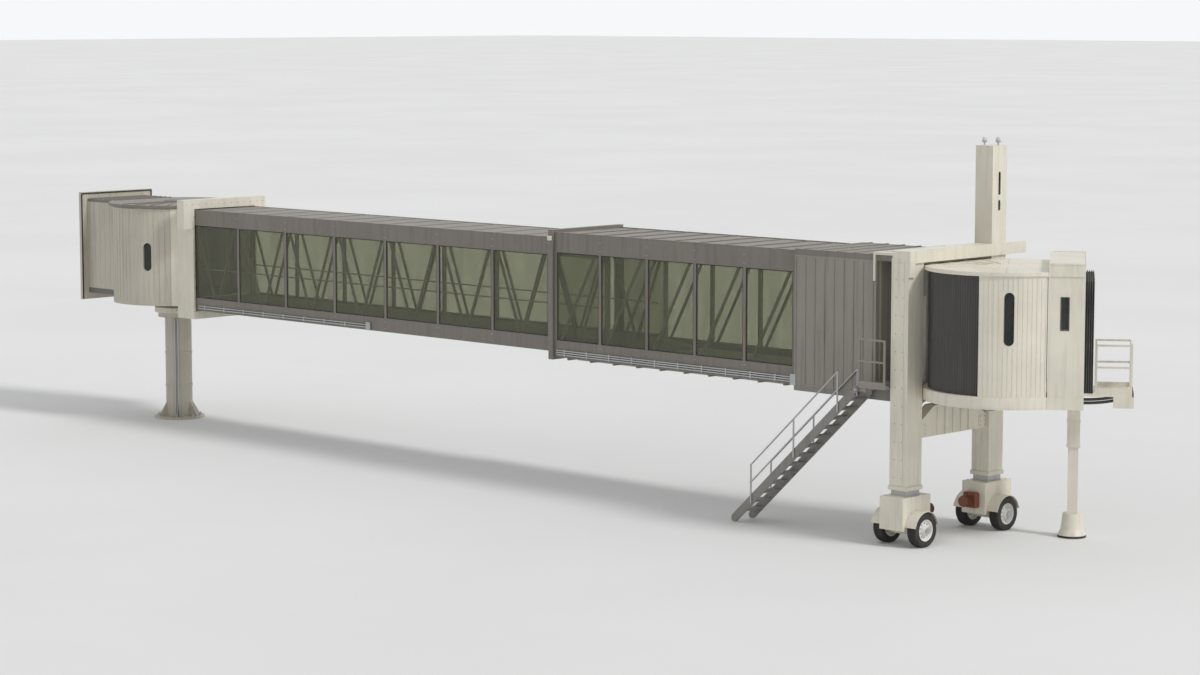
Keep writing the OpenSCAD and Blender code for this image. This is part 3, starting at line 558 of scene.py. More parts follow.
# Roof of the rotunda with a cap and rays, and the fixed corridor behind it
roof = {"edgeR": (2.019, 2.030), "edgeZ": (6.512, 6.598), "rays": (-90, 91, 15.0),
        "rayFrom": (0.35, -0.012, 6.598), "rayTo": (2.0, 0.012, 6.624),
        "cap": [(0.0005, 6.598), (0.36, 6.598), (0.36, 6.63), (0.30, 6.66), (0.0005, 6.672)]}
corridor = {"seamX": (-2.9, -1.65, 6), "seamHalf": 0.012, "wallY": (1.098, 1.108),
            "wallZ": (3.87, 6.5), "roofY": 1.09, "roofZ": (6.598, 6.62),
            "sealLow": [(-3.002, 1.31, 3.52), (-3.002, -1.345, 3.52), (-3.002, -1.31, 6.745)],
            "sealHigh": [(-2.97, 1.345, 6.78), (-2.97, -1.31, 6.78), (-2.97, 1.31, 6.78)]}


def ribRow(at, half, y, z, chamfer=0.004):
    # boxes that stand in a row along X and share their y and z limits
    return boxes(spots(at - half, y[0], z[0]), spots(at + half, y[1], z[1]), chamfer)


s = corridor
seamX = np.linspace(*s["seamX"])
wallSeams = ribRow(seamX, s["seamHalf"], s["wallY"], s["wallZ"])
roofSeams = ribRow(seamX, s["seamHalf"], (-s["roofY"], s["roofY"]), s["roofZ"])
rays = ringBoxes(np.arange(*roof["rays"]), roof["rayFrom"], roof["rayTo"])
edge = spin(bead(*roof["edgeR"], *roof["edgeZ"]), 3.0)
addPiece("rotundaRoofTrim", [(joined(edge, rays, spin(roof["cap"], 10.0), roofSeams), "band")],
         "pedestal")
# the wall seams take the darker cream, painted shade of the corridor walls
addPiece("corridorSeams", [(bothSides(wallSeams), "creamInPaintedShade"),
                           (boxes(s["sealLow"], s["sealHigh"]), "rubber")], "pedestal")
print("rotunda dressed")

# Tunnels: gaskets round the panes, bolts on the chords, seams and lips on the roofs
tunnels = {
    "inner": {"posts": postsA, "face": 1.1143, "skin": 1.13, "glass": (3.90, 6.05), "roof": 6.50,
              "seam": 0.012, "chords": (3.62, 3.80, 6.14, 6.34), "half": 1.125,
              "seamStep": bayA / 2, "lip": 0.012, "body": "tunnel_a"},
    "outer": {"posts": postsB, "face": 1.2443, "skin": 1.26, "glass": (3.84, 6.14), "roof": 6.64,
              "seam": 0.022, "chords": (3.50, 3.74, 6.24, 6.46), "half": 1.255,
              "seamStep": bayB / 2, "lip": 0.02, "body": "tunnel_b"},
}
paneSeal = {"inset": 0.045, "width": 0.022, "thick": 0.009}
chordBolt = {"offPost": 0.03, "radius": 0.012, "height": 0.009}
seam = {"half": 0.02, "sunk": 0.002, "stopShort": 0.1, "lipWide": 0.05, "lipShort": 0.01}


def paneGaskets(s):
    # four strips round each pane: x from, x to, z from, z to, all of one thickness
    inset, w = paneSeal["inset"], paneSeal["width"]
    left, right = s["posts"][:-1] + inset, s["posts"][1:] - inset
    left[0], right[-1] = left[0] + inset, right[-1] - inset
    low, high = s["glass"]
    y0, y1 = s["face"], s["face"] + paneSeal["thick"]
    rows = [(left, left + w, low, high), (right - w, right, low, high),
            (left, right, low, low + w), (left, right, high - w, high)]
    return joined(*[boxes(spots(a, y0, c), spots(b, y1, d), 0.002) for a, b, c, d in rows])


def chordBolts(s):
    count, apart = len(s["posts"]) - 2, chordBolt["offPost"]
    x = np.repeat(s["posts"][1:-1], 8) + np.tile([-apart, apart], 4 * count)
    z = np.tile(np.repeat(s["chords"], 2), count)
    return bolts(spots(x, s["skin"], z), alongY, chordBolt["radius"], chordBolt["height"])


def roofTrim(s):
    first, last, base = s["posts"][0], s["posts"][-1], s["roof"] - seam["sunk"]
    x = np.arange(first + s["seamStep"], last - seam["stopShort"], s["seamStep"])
    across = ribRow(x, seam["half"], (-s["half"], s["half"]), (base, s["roof"] + s["seam"]))
    lip = boxes((first + seam["lipShort"], s["half"] - seam["lipWide"], base),
                (last - seam["lipShort"], s["half"], s["roof"] + s["lip"]), 0.003)
    return joined(across, bothSides(lip))


for name, s in tunnels.items():
    addPiece(name + "Gaskets", [(bothSides(paneGaskets(s)), "rubber")], s["body"])
    addPiece(name + "Bolts", [(bothSides(chordBolts(s)), "zinc")], s["body"])
    addPiece(name + "RoofTrim", [(roofTrim(s), "band")], s["body"])

# Inside the inner tunnel: rails, ceiling tiles, light troughs; ribs under its floor
inside = {"railX": (2.5, 19.1), "railY": 0.985, "railZ": 4.76, "railR": 0.02,
          "stayOut": 0.077, "stayDrop": 0.03, "stayR": 0.009,
          "tileX": (2.25, 19.2, 0.6), "tile": 0.592, "tileEnd": 19.28, "tileY": 1.04,
          "tileZ": (6.425, 6.439),
          "troughX": (3.0, 18.6, 2.4), "trough": 1.2, "troughY": 0.09, "troughZ": (6.412, 6.426),
          "ribX": (2.7, 19.0, bayA / 2), "ribHalf": 0.03, "ribY": 1.058, "ribTop": 3.7595,
          "ribLow": (3.60, 3.722), "shallowFrom": 10.1}
s = inside
rail = tubes((s["railX"][0], s["railY"], s["railZ"]), (s["railX"][1], s["railY"], s["railZ"]),
             s["railR"], 14)
stays = tubes(spots(postsA[1:-1], s["railY"], s["railZ"]),
              spots(postsA[1:-1], s["railY"] + s["stayOut"], s["railZ"] - s["stayDrop"]),
              s["stayR"], 8)
addPiece("innerRails", [(bothSides(joined(rail, stays)), "zinc")], "tunnel_a")
x, (low, high) = np.arange(*s["tileX"]), s["tileZ"]
tiles = boxes(spots(x, -s["tileY"], low),
              spots(np.minimum(x + s["tile"], s["tileEnd"]), s["tileY"], high), 0.003)
x, (low, high) = np.arange(*s["troughX"]), s["troughZ"]
troughs = boxes(spots(x, -s["troughY"], low), spots(x + s["trough"], s["troughY"], high))
addPiece("innerCeiling", [(tiles, "lining"), (troughs, "lampGlass")], "tunnel_a")
x = np.arange(*s["ribX"])
ribLow = np.where(x < s["shallowFrom"], *s["ribLow"])
ribs = ribRow(x, s["ribHalf"], (-s["ribY"], s["ribY"]), (ribLow, s["ribTop"]))
addPiece("innerFloorRibs", [(ribs, "steel")], "tunnel_a")

# Conduits under the chords; those of the inner tunnel end before the outer one covers them
conduits = {
    "inner": {"x": (2.5, 10.0), "y": -1.157, "z": (3.60, 3.665), "skin": 1.129, "clipStep": 0.9},
    "outer": {"x": (17.6, 25.6), "y": -1.287, "z": (3.47, 3.525, 3.58), "skin": 1.259,
              "clipStep": 0.8},
}
conduit = {"radius": 0.019, "clipFrom": 0.3, "clipHalf": 0.02, "clipOut": 0.022, "clipOver": 0.035,
           "boxX": (-0.02, 0.16), "boxOut": 0.03, "boxOver": 0.08}


def conduitRun(s):
    # pipes with clips, which end in a box
    c, (x0, x1), y, skin, (low, *_, high) = conduit, s["x"], s["y"], -s["skin"], s["z"]
    runs = tubes(spots(x0, y, s["z"]), spots(x1, y, s["z"]), c["radius"], 12)
    at = np.arange(x0 + c["clipFrom"], x1, s["clipStep"])
    clips = ribRow(at, c["clipHalf"], (y - c["clipOut"], skin),
                   (low - c["clipOver"], high + c["clipOver"]), 0.003)
    endBox = boxes((x1 + c["boxX"][0], y - c["boxOut"], low - c["boxOver"]),
                   (x1 + c["boxX"][1], skin, high + c["boxOver"]), 0.006)
    return joined(runs, clips, endBox)


for name, s in conduits.items():
    addPiece(name + "Conduits", [(conduitRun(s), "zinc")], tunnels[name]["body"])

# Closed part: pressed wall ribs, flashings and roof seams
closed = {"ribX": (25.74, 28.1, 9), "ribHalf": 0.02, "ribY": (1.299, 1.313), "ribZ": (3.44, 6.50),
          "farX": (28.3, 29.0, 3), "farZ": (3.74, 6.50),
          "flashLow": [(25.70, 1.299, 3.41), (25.70, 1.299, 6.50)],
          "flashHigh": [(28.13, 1.308, 3.44), (28.13, 1.308, 6.555)],
          "seamX": (26.0, 28.0, 5), "seamHalf": 0.015, "seamY": (-1.29, 1.29),
          "seamZ": (6.698, 6.722)}
s = closed
wall = joined(ribRow(np.linspace(*s["ribX"]), s["ribHalf"], s["ribY"], s["ribZ"], 0.006),
              boxes(s["flashLow"], s["flashHigh"]))
farRibs = ribRow(np.linspace(*s["farX"]), s["ribHalf"], s["ribY"], s["farZ"], 0.006)
seams = ribRow(np.linspace(*s["seamX"]), s["seamHalf"], s["seamY"], s["seamZ"])
addPiece("closedWallRibs", [(joined(bothSides(wall), farRibs, seams), "panel")], "tunnel_b")

# Under the outer tunnel: floor ribs and a cable tray
under = {"ribX": (17.9, 25.5, bayB / 2), "ribHalf": 0.035, "ribY": (-1.17, 1.17),
         "ribZ": (3.33, 3.402),
         "trayLow": [(17.8, -0.72, 3.29), (17.8, -0.72, 3.29), (17.8, -0.495, 3.29)],
         "trayHigh": [(25.6, -0.49, 3.297), (25.6, -0.715, 3.335), (25.6, -0.49, 3.335)]}
s = under
ribs = ribRow(np.arange(*s["ribX"]), s["ribHalf"], s["ribY"], s["ribZ"], 0.005)
tray = boxes(s["trayLow"], s["trayHigh"], 0.002)
addPiece("outerUnderside", [(ribs, "steel"), (tray, "zinc")], "tunnel_b")

# Rear frame of the outer tunnel: bolts on its face, and a lamp at its upper near corner
rearFrame = {"boltX": 17.338, "boltY": (-1.25, 1.25), "boltZ": (3.45, 6.6, 11),
             "lamp": [(17.36, -1.40, 6.44), (17.48, -1.33, 6.56)],
             "lens": [(17.42, -1.41, 6.50), (17.42, -1.398, 6.50)], "lensR": 0.04}
s = rearFrame
heads = [bolts(spots(s["boltX"], y, np.linspace(*s["boltZ"])), (-1, 0, 0), 0.014, 0.011)
         for y in s["boltY"]]
rearLamp = joined(boxes(*s["lamp"], 0.01), tubes(*s["lens"], s["lensR"], 16))
addPiece("rearFrameFittings", [(joined(*heads), "zinc"), (rearLamp, "cream")], "tunnel_b")
print("tunnels dressed")

# Service door: a window with its seal, a kick plate, a lever and three hinges
door = {"window": [(28.52, -0.4935, 4.95), (28.84, -0.489, 5.45)],
        "seal": {"x": 28.68, "z": 5.20, "outer": (0.18, 0.27), "inner": (0.16, 0.25),
                 "y": (-0.498, -0.489)},
        "kick": [(28.34, -0.494, 3.74), (29.02, -0.489, 3.98)],
        "leverPlate": [(28.36, -0.498, 4.62), (28.40, -0.489, 4.82)],
        "lever": [(28.38, -0.53, 4.74), (28.50, -0.53, 4.74)], "leverR": 0.009,
        "spindle": [(28.38, -0.49, 4.74), (28.38, -0.532, 4.74)], "spindleR": 0.010,
        "hingeAt": (29.062, -0.503), "hingeZ": (3.95, 4.7, 5.45), "hingeHalf": 0.06,
        "hingeR": 0.011}


def stripFrame(s):
    # four strips round an opening: the two uprights, then the lower and the upper one
    (w, h), (a, b), x, z = s["outer"], s["inner"], s["x"], s["z"]
    x0, x1 = np.array([(x - w, x - a), (x + a, x + w), (x - a, x + a), (x - a, x + a)]).T
    z0, z1 = np.array([(z - h, z + h), (z - h, z + h), (z - h, z - b), (z + b, z + h)]).T
    return boxes(spots(x0, s["y"][0], z0), spots(x1, s["y"][1], z1), 0.003)


s = door
hingeLow, hingeHigh = [spots(*s["hingeAt"], np.array(s["hingeZ"]) + d * s["hingeHalf"])
                       for d in (-1, 1)]
metal = joined(boxes(*s["kick"], 0.002), boxes(*s["leverPlate"]),
               tubes(*s["lever"], s["leverR"], 12), tubes(*s["spindle"], s["spindleR"], 12),
               tubes(hingeLow, hingeHigh, s["hingeR"], 12))
addPiece("doorFittings", [(boxes(*s["window"], 0.002), "darkGlass"),
                          (stripFrame(s["seal"]), "rubber"), (metal, "zinc")], "tunnel_b")

# Landing: bars across it, rods along it and a toe board
landing = {"barX": (28.32, 29.07, 0.034), "barHalf": 0.0025, "barY": (-2.01, -1.31),
           "barZ": (3.699, 3.712), "rodY": (-1.98, -1.32, 0.1), "rodX": (28.31, 29.07),
           "rodZ": 3.708, "rodR": 0.003, "toe": [(28.34, -2.058, 3.70), (29.04, -2.046, 3.80)]}
s = landing
bars = ribRow(np.arange(*s["barX"]), s["barHalf"], s["barY"], s["barZ"], 0.001)
rods = tubes(*[spots(x, np.arange(*s["rodY"]), s["rodZ"]) for x in s["rodX"]], s["rodR"], 6)
addPiece("landingGrating", [(joined(bars, rods), "zinc"), (boxes(*s["toe"], 0.003), "panel")],
         "tunnel_b")

# Stair: two rails on three posts a side, a nose and grip strips on each tread, hinge pins
stair = {"pin": (28.21, 3.58), "slope": 43.0, "treads": 14, "roller": 0.09,
         "posts": (2, 7, 12), "postR": 0.022, "postZ": (-0.06, 0.885),
         "rails": (0.856, 0.43), "railR": 0.020, "railY": (-1.338, -2.082),
         "noseX": (-0.122, -0.100), "noseY": (-2.008, -1.412), "noseZ": (-0.03, 0.005),
         "gripX": (-0.085, 0.105, 7), "gripHalf": 0.004, "gripY": (-2.005, -1.415),
         "gripZ": (-0.002, 0.005),
         "pinFromY": (-1.353, -2.069), "pinToY": (-1.361, -2.059), "pinR": 0.034}
rise = (stair["pin"][1] - stair["roller"]) / stair["treads"]
run = rise / np.tan(np.radians(stair["slope"]))


def onStair(step, up=0.0):
    # a place on the line of treads, step counted from the head
    step = np.array(step, float)
    return stair["pin"][0] - step * run, stair["pin"][1] - step * rise + up


def stairRail(y):
    s = stair
    x, z = onStair(s["posts"])
    shapes = [tubes(*[spots(x + s["postR"], y, z + d) for d in s["postZ"]], s["postR"], 14)]
    for up in s["rails"]:
        x0, z0 = onStair(s["posts"][-1], up)
        x1, z1 = onStair(s["posts"][0], up)
        shapes.append(tubes((x0, y, z0), (x1 + 0.03, y, z1 + 0.028), s["railR"], 14))
    return joined(*shapes)


s = stair
handRails = addPiece("stairHandRails", [(joined(*map(stairRail, s["railY"])), "zinc")], "stair")
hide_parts("stair_rails")
x, z = onStair(np.arange(1, s["treads"]))
noses = boxes(*[spots(x + s["noseX"][i], s["noseY"][i], z + s["noseZ"][i]) for i in (0, 1)], 0.003)
gripX = (x[:, None] + np.linspace(*s["gripX"])).ravel()
gripZ = np.repeat(z, s["gripX"][2])
grips = ribRow(gripX, s["gripHalf"], s["gripY"], [gripZ + d for d in s["gripZ"]], 0.001)
x, z = s["pin"]
pins = tubes(spots(x, s["pinFromY"], z), spots(x, s["pinToY"], z), s["pinR"], 6)
addPiece("stairTreadFaces", [(joined(noses, grips, pins), "zinc")], "stair")
print("stair dressed")


def mirroredParts(parts):
    return [(mirrored(shape), paint) for shape, paint in parts]


# Lift columns: a bolted guide strip on the outer face, and a collar round the foot
column = {"faceY": 1.86, "stripX": (29.22, 29.48), "stripFrom": 1.42, "out": 0.014,
          "boltX": (29.25, 29.45), "boltFrom": 1.6, "boltStep": 0.42,
          "collarLow": [(29.075, 1.84, 1.302), (29.075, 1.275, 1.302), (29.075, 1.299, 1.302),
                        (29.599, 1.299, 1.302)],
          "collarHigh": [(29.625, 1.885, 1.40), (29.625, 1.301, 1.40), (29.101, 1.86, 1.40),
                         (29.625, 1.86, 1.40)]}


def columnTrim(top):
    # drawn on the far side
    s, face = column, column["faceY"]
    (x0, x1), front = s["stripX"], face + s["out"]
    strip = boxes((x0, face - 0.001, s["stripFrom"]), (x1, front, top - 0.1))
    at = np.arange(s["boltFrom"], top - 0.2, s["boltStep"])
    heads = bolts(spots(np.tile(s["boltX"], len(at)), front, np.repeat(at, 2)), alongY)
    return [(joined(strip, boxes(s["collarLow"], s["collarHigh"], 0.005)), "cream"),
            (heads, "zinc")]


addPiece("nearColumnTrim", mirroredParts(columnTrim(6.7)), "tunnel_b")
addPiece("farColumnTrim", columnTrim(9.2), "tunnel_b")

# Two lamps on the far column: a foot, a case and a dome each, the last two as outlines
lamps = {"at": (29.2, 1.5), "apart": (0.28, 0.16, 0.0), "footZ": (9.19, 9.27), "footR": 0.018,
         "case": [(0.0005, 0), (0.05, 0), (0.062, 0.02), (0.062, 0.05), (0.0005, 0.05)],
         "caseZ": 9.265, "domeZ": 9.314,
         "dome": [(0.0005, 0), (0.052, 0), (0.052, 0.04), (0.036, 0.075), (0.0005, 0.086)]}
s = lamps
foot = tubes(*[(*s["at"], z) for z in s["footZ"]], s["footR"], 12)
case, dome = [moved(spin(s[key], 18.0), (*s["at"], s[key + "Z"])) for key in ("case", "dome")]
pairs = [joined(shape, moved(shape, s["apart"])) for shape in (foot, case, dome)]
addPiece("mastLamps", [(joined(*pairs[:2]), "zinc"), (pairs[2], "lampGlass")], "tunnel_b")

# Cross-beam: bolted splice plates towards its ends, and stiffeners between them
beam = {"plateLow": [(29.498, -1.28, 2.52), (29.498, 1.02, 2.52)],
        "plateHigh": [(29.512, -1.02, 2.80), (29.512, 1.28, 2.80)],
        "boltX": 29.512, "boltY": (-1.23, -1.07, 1.07, 1.23), "boltZ": (2.56, 2.66, 2.76),
        "stiffX": (29.498, 29.53), "stiffY": (-0.6, 0.6, 5), "stiffHalf": 0.008,
        "stiffZ": (2.50, 3.16)}
s = beam
boltY, boltZ = np.repeat(s["boltY"], 3), np.tile(s["boltZ"], 4)
heads = bolts(spots(s["boltX"], boltY, boltZ), alongX, 0.015, 0.011)
y, (x0, x1), (z0, z1) = np.linspace(*s["stiffY"]), s["stiffX"], s["stiffZ"]
stiffeners = boxes(spots(x0, y - s["stiffHalf"], z0), spots(x1, y + s["stiffHalf"], z1), 0.003)
plates = boxes(s["plateLow"], s["plateHigh"])
addPiece("crossBeamPlates", [(joined(plates, stiffeners), "cream"), (heads, "zinc")], "tunnel_b")

# One half of the tyre's and rim's outlines as [radius, along the axle], clear of the 45 mm axle
wheel = {"tyre": [(0.255, -0.118), (0.35, -0.136), (0.382, -0.132), (0.398, -0.112),
                  (0.400, -0.070), (0.392, -0.066), (0.392, -0.050), (0.400, -0.046),
                  (0.400, -0.010), (0.392, -0.007)],
         "rim": [(0.0455, -0.148), (0.095, -0.148), (0.105, -0.138), (0.115, -0.070),
                 (0.215, -0.062), (0.235, -0.112), (0.254, -0.124), (0.256, -0.10)],
         "nutAt": 0.165, "nutStep": 36.0, "nutR": 0.017,
         "nutZ": [(0.060, 0.088), (-0.088, -0.060)]}
axleAt = {"near": -1.58, "far": 1.58}
wheelAt = {"front": 29.85, "back": 28.85}
axleZ = 0.4

around = np.arange(0, 360, wheel["nutStep"])
nuts = [tubes(*[onRing(wheel["nutAt"], around, z) for z in limits], wheel["nutR"], 6)
        for limits in wheel["nutZ"]]
cover, hub = [spin(half + [(r, -z) for r, z in half[::-1]], 5.0)
              for half in (wheel["tyre"], wheel["rim"])]
wheelParts = [(cover, "rubber"), (hub, "rim"), (joined(*nuts), "zinc")]
for side, y in axleAt.items():
    for end, x in wheelAt.items():
        parts = [(layOnX(shape, (x, y, axleZ)), paint) for shape, paint in wheelParts]
        piece = addPiece(f"tyre_{side}_{end}", parts, f"wheel_{side}_{end}")
        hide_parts(f"wheel_{side}_{end}")

# Carriages: fenders, bolts on top, axle caps, and a drive motor with fins and a gear case
carriage = {"fenderR": (0.435, 0.447), "fenderHalf": 0.155, "fenderTurn": (102.0, 258.0, 40),
            "boltX": (29.06, 29.64), "boltY": (-1.95, -1.72, -1.44, -1.21), "boltZ": 1.17,
            "capFromX": (28.668, 30.03), "capToX": (28.656, 30.042), "capR": 0.075,
            "motorAt": (29.35, 0.74), "motorY": (-0.898, -0.62), "motorR": 0.125,
            "finY": (-0.868, -0.67, 9), "finThick": 0.008, "finR": 0.139,
            "case": [(29.16, -1.058, 0.56), (29.54, -0.888, 0.93)]}


def carriageTrim():
    # drawn on the near side; a fender is a flat band turned round the axle and laid along X
    s, y = carriage, axleAt["near"]
    half = s["fenderHalf"]
    band = turnProfile(bead(*s["fenderR"], -half, half, 0), np.linspace(*s["fenderTurn"]))
    fenders = [layOnX(band, (x, y, axleZ)) for x in wheelAt.values()]
    heads = bolts(spots(np.repeat(s["boltX"], 4), np.tile(s["boltY"], 2), s["boltZ"]), upward,
                  0.018, 0.014)
    caps = tubes(spots(s["capFromX"], y, axleZ), spots(s["capToX"], y, axleZ), s["capR"], 20)
    (x, z), at = s["motorAt"], np.linspace(*s["finY"])
    barrel = tubes(*[(x, y, z) for y in s["motorY"]], s["motorR"], 28)
    fins = tubes(spots(x, at, z), spots(x, at + s["finThick"], z), s["finR"], 28)
    return [(joined(*fenders), "cream"), (joined(heads, caps), "zinc"),
            (joined(barrel, fins, boxes(*s["case"], 0.025)), "primer")]


addPiece("carriageTrim_near", carriageTrim(), "carriage_near")
addPiece("carriageTrim_far", mirroredParts(carriageTrim()), "carriage_far")
print("lift and wheels dressed")

# Cab: seams and rims on its curved walls. The far wall has no window, so its ribs run through
cabNear = {"radius": 1.90, "ribFrom": -108.2, "ribTo": -62.4, "ribs": 15, "ribHalf": 0.006,
           "proud": 0.008, "low": 3.72, "high": 6.42, "slotAt": -88.0, "slotClear": 4.6,
           "slotLow": 4.84, "slotHigh": 6.12}
cabFar = {**cabNear, "ribFrom": 62.4, "ribTo": 81.2, "ribs": 7}
cabRims = {"turn": (62.0, 298.0, 120), "floor": (1.929, 1.937, 3.455, 3.665, 0.005),
           "roof": (1.929, 1.937, 6.452, 6.52)}
rims = [turnProfile(bead(*cabRims[key]), np.linspace(*cabRims["turn"]))
        for key in ("floor", "roof")]
addPiece("cabSeams", [(onCab(joined(wallRibs(cabNear), wallRibs(cabFar), *rims)), "cream")], "cab")

cabWindows = {"slot": {"opening": (0.206, 1.186), "radius": 1.902, "angle": -88.0, "z": 5.48,
                       "thick": 0.010},
              "side": {"x": 1.3033, "z": 5.60, "outer": (0.10, 0.38), "inner": (0.082, 0.362),
                       "y": (1.676, 1.690)}}
seals = joined(gasket(cabWindows["slot"]), bothSides(stripFrame(cabWindows["side"])))
addPiece("cabWindowSeals", [(onCab(seals), "rubber")], "cab")

cabTop = {"edgeLow": [(0.99, -1.71, 6.70), (0.99, 1.685, 6.70), (1.745, -1.70, 6.69)],
          "edgeHigh": [(1.762, -1.685, 6.742), (1.762, 1.71, 6.742), (1.765, 1.70, 6.742)],
          "rays": (90, 271, 22.5), "rayFrom": (0.5, -0.012, 6.528), "rayTo": (1.88, 0.012, 6.548)}
s = cabTop
rays = ringBoxes(np.arange(*s["rays"]), s["rayFrom"], s["rayTo"])
edges = boxes(s["edgeLow"], s["edgeHigh"])
addPiece("cabRoofTrim", [(onCab(joined(edges, rays)), "cream")], "cab")


def shell(outer, inner):
    # two grids of points, rows by columns, closed along their four edges
    n, m = outer.shape[:2]
    k, s = np.arange(n * m).reshape(n, m), n * m
    face = np.stack([k[:-1, :-1], k[:-1, 1:], k[1:, 1:], k[1:, :-1]], 2).reshape(-1, 4)
    rims = [(k[0, :-1], k[0, :-1] + s, k[0, 1:] + s, k[0, 1:]),
            (k[-1, :-1], k[-1, 1:], k[-1, 1:] + s, k[-1, :-1] + s),
            (k[:-1, 0], k[1:, 0], k[1:, 0] + s, k[:-1, 0] + s),
            (k[:-1, -1], k[:-1, -1] + s, k[1:, -1] + s, k[1:, -1])]
    points = np.concatenate([outer.reshape(-1, 3), inner.reshape(-1, 3)])
    return points, [face, face[:, ::-1] + s] + [np.stack(rim, 1) for rim in rims]


# Hood: cloth pleats round an upside-down U with round upper corners. Along u the cloth
# steps in and out by d |sin(pi n t)|, t from 0 to 1
hood = {"u": (1.752, 1.955), "half": 1.385, "low": 3.765, "high": 6.365, "corner": 0.16,
        "pleats": 4, "depth": 0.055, "thick": 0.006, "perSide": 26, "perCorner": 14, "perPleat": 12}


def hoodLine(inset):
    h, r, top = hood["half"] - inset, hood["corner"], hood["high"] - inset
    t = np.linspace(0, np.pi / 2, hood["perCorner"])
    rise = np.linspace(hood["low"], top - r, hood["perSide"])[:-1]
    left = np.stack([0 * rise - h, rise], 1)
    corner = np.stack([-h + r - r * np.cos(t), top - r + r * np.sin(t)], 1)
    flat = np.linspace(-h + r, h - r, hood["perSide"])[1:-1]
    across = np.stack([flat, 0 * flat + top], 1)
    return np.concatenate([left, corner, across, corner[::-1] * [-1, 1], left[::-1] * [-1, 1]])


def hoodShape():
    along = np.linspace(0, 1, hood["perPleat"] * hood["pleats"] + 1)
    inset = hood["depth"] * np.abs(np.sin(np.pi * hood["pleats"] * along))
    u = hood["u"][0] + (hood["u"][1] - hood["u"][0]) * along
    lines = [np.stack([hoodLine(d + thick) for d in inset]) for thick in (0, hood["thick"])]
    points, groups = shell(*[spots(u[:, None], line[..., 0], line[..., 1]) for line in lines])
    width = np.linalg.norm(np.diff(lines[0][0], axis=0), axis=1).sum()
    bend = np.hypot(np.diff(u), np.diff(inset)).sum()
    return (points, [f[:, ::-1] for f in groups]), (float(width), float(bend))


hoodSurface, hoodFlat = hoodShape()
canopy = addPiece("canopyHood", [(onCab(hoodSurface), "hoodCloth")], "cab", 50)
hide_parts("cab_hood")

# Front platform: an edge pad, tread strips, toe boards and two curved arms under it
platform = {"pad": [(2.85, -0.60, 3.60), (2.885, 0.60, 3.70)],
            "treadX": (2.02, 2.80, 0.06), "treadHalf": 0.003, "treadY": (-0.54, 0.54),
            "treadZ": (3.699, 3.706),
            "toeLow": [(2.02, -0.598, 3.70), (2.02, 0.59, 3.70)],
            "toeHigh": [(2.80, -0.59, 3.80), (2.80, 0.598, 3.80)],
            "armAt": (1.70, -0.30, 3.41), "armOut": 0.95, "armUp": 0.19, "armR": 0.035}
s = platform
treads = ribRow(np.arange(*s["treadX"]), s["treadHalf"], s["treadY"], s["treadZ"], 0.001)
toeBoards = boxes(s["toeLow"], s["toeHigh"], 0.002)
x, y, z = s["armAt"]
t = np.linspace(0, np.pi / 2, 16)
arm = sweep(spots(x + s["armOut"] * np.sin(t), y, z + s["armUp"] * (1 - np.cos(t))), s["armR"], 14)
# the arms take the near black that paints shade on the slat curtains
platformParts = [(boxes(*s["pad"], 0.012), "rubber"), (treads, "zinc"), (toeBoards, "cream"),
                 (bothSides(arm), "slats")]
addPiece("platformFittings", [(onCab(shape), paint) for shape, paint in platformParts], "cab")

# Prop: square bands round its sleeve, and bolts and a rubber ring on its foot
prop = {"bandZ": (2.16, 2.75, 3.36), "bandTall": 0.05,
        "bandLow": [(1.392, 1.142), (1.699, 1.142), (1.392, 1.142), (1.392, 1.449)],
        "bandHigh": [(1.401, 1.458), (1.708, 1.458), (1.708, 1.151), (1.708, 1.458)],
        "at": (1.55, 1.30, 0.0), "boltAt": 0.31, "boltZ": 0.06,
        "ring": [(0.328, 0.004), (0.337, 0.008), (0.337, 0.05), (0.328, 0.056)]}
s = prop
bandZ = np.array(s["bandZ"])
bands = [boxes(spots(*low, bandZ), spots(*high, bandZ + s["bandTall"]), 0.003)
         for low, high in zip(s["bandLow"], s["bandHigh"])]
addPiece("propSleeveBands", [(onCab(joined(*bands)), "cream")], "cab")
heads = bolts(onRing(s["boltAt"], np.arange(0, 360, 45.0), s["boltZ"]), upward, 0.013, 0.006)
footParts = [(heads, "zinc"), (spin(s["ring"], 7.5), "rubber")]
addPiece("propFootTrim", [(onCab(moved(shape, s["at"])), paint) for shape, paint in footParts],
         "prop_foot")

# Curtains: slats as scallops outside, r = R + a |sin(pi n t)|, t from 0 to 1; smooth inside
curtains = {"near": {"from": -140.0, "to": -69.0, "slats": 34},
            "far": {"from": 112.0, "to": 140.0, "slats": 13},
            "inner": 1.792, "outer": 1.812, "swell": 0.016, "z": (3.702, 6.438), "perSlat": 8,
            "endR": 1.81, "endZ": 5.0}


def curtainShape(s):
    along = np.linspace(0, 1, s["slats"] * curtains["perSlat"] + 1)
    angle = s["from"] + (s["to"] - s["from"]) * along
    out = curtains["outer"] + curtains["swell"] * np.abs(np.sin(np.pi * s["slats"] * along))
    levels = np.linspace(*curtains["z"], 5)[:, None]
    sides = [onRing(radius, angle, levels) for radius in (out, curtains["inner"])]
    return moved(shell(*sides), (*cabCentre, 0))


# the curtains are coloured near black all over as painted shade
for side in ("near", "far"):
    s = curtains[side]
    shutter = addPiece(f"slatShutter_{side}", [(curtainShape(s), "slats")], None, 50)
    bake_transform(shutter)
    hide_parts(f"curtain_{side}")
print("cab dressed")

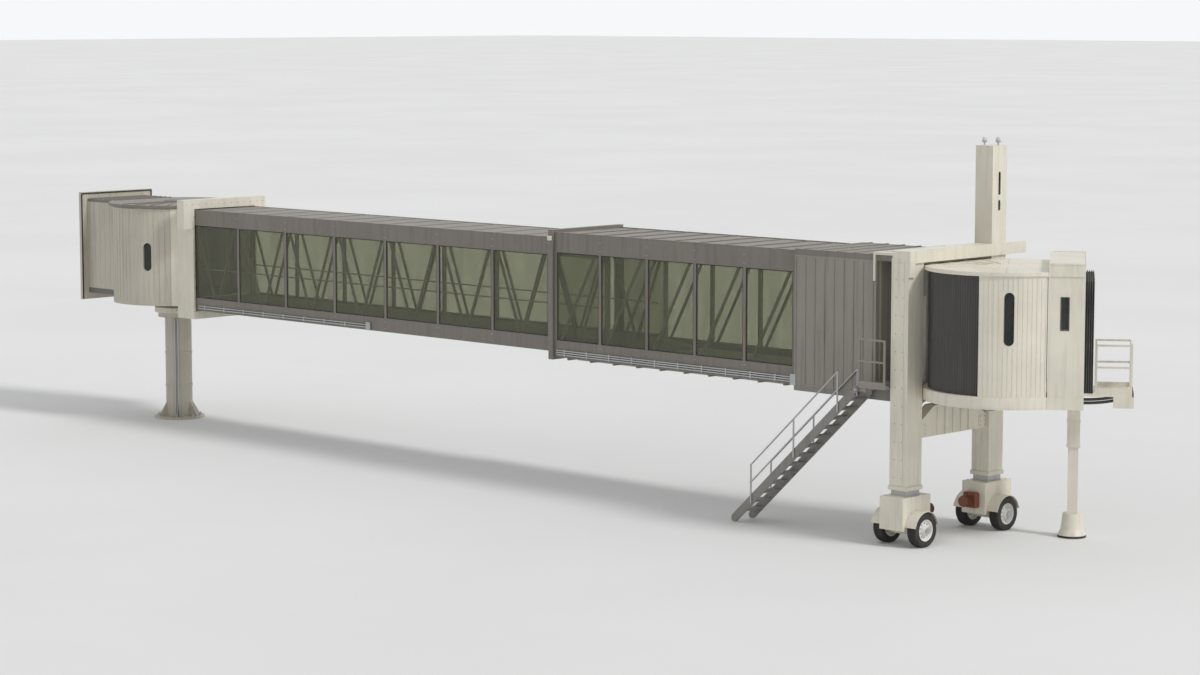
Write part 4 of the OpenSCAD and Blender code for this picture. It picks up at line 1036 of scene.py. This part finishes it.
# Stage: a wide pale floor just under the ground
stage = {"half": 900, "z": -0.002, "colours": [(0.80, 0.80, 0.79), (0.83, 0.83, 0.82)],
         "patches": 0.05, "rough": 0.9}
floorMesh = bpy.data.meshes.new("floor")
corners = [(x * stage["half"], y * stage["half"], stage["z"])
           for x, y in ((-1, -1), (1, -1), (1, 1), (-1, 1))]
floorMesh.from_pydata(corners, [], [(0, 1, 2, 3)])
floor = addObject("floor", floorMesh)
floorPaint, tree, shader = newMaterial("floorPaint")
patches = addRange(tree, addNoise(tree, stage["patches"]), 0.4, 0.6, 0, 1)
tree.links.new(addMix(tree, patches, *stage["colours"]), shader.inputs["Base Color"])
shader.inputs["Roughness"].default_value = stage["rough"]
floorMesh.materials.append(floorPaint)

# Light: a pale sky, dimmer as light than as it is seen, and one wide soft sun
light = {"sky": (0.93, 0.94, 0.95), "asLight": 0.62, "asSeen": 1.0, "sun": 1.5, "sunSpread": 12,
         "sunFrom": (0.80, 0.12, 0.72)}
world = bpy.data.worlds.new("studio")
world.use_nodes = True
bpy.context.scene.world = world
tree = world.node_tree
path = addNode(tree, "ShaderNodeLightPath")
seen = path.outputs["Is Camera Ray"]
for name in ("Is Glossy Ray", "Is Transmission Ray"):
    seen = addMath(tree, "MAXIMUM", seen, path.outputs[name])
background = tree.nodes["Background"]
background.inputs["Color"].default_value = (*light["sky"], 1)
tree.links.new(addRange(tree, seen, 0, 1, light["asLight"], light["asSeen"]),
               background.inputs["Strength"])
sunData = bpy.data.lights.new("sun", "SUN")
sunData.energy = light["sun"]
sunData.angle = np.radians(light["sunSpread"])
sun = addObject("sun", sunData)
sun.rotation_euler = Vector(light["sunFrom"]).to_track_quat("Z", "Y").to_euler()

# Camera fitted to the photograph: 12.43 m up, aimed at the bridge with a longer lens
view = {"at": (71.2, -55.0, 12.43), "towards": (-0.7066, 0.7295, -0.114), "lens": 88.0,
        "sensor": 36.0, "far": 3000}
cameraData = bpy.data.cameras.new("camera")
cameraData.lens = view["lens"]
cameraData.sensor_width = view["sensor"]
cameraData.clip_end = view["far"]
camera = addObject("camera", cameraData)
camera.location = view["at"]
camera.rotation_euler = Vector(view["towards"]).to_track_quat("-Z", "Y").to_euler()
bpy.context.scene.camera = camera
bpy.context.scene.view_settings.view_transform = "Standard"

print("stage set")
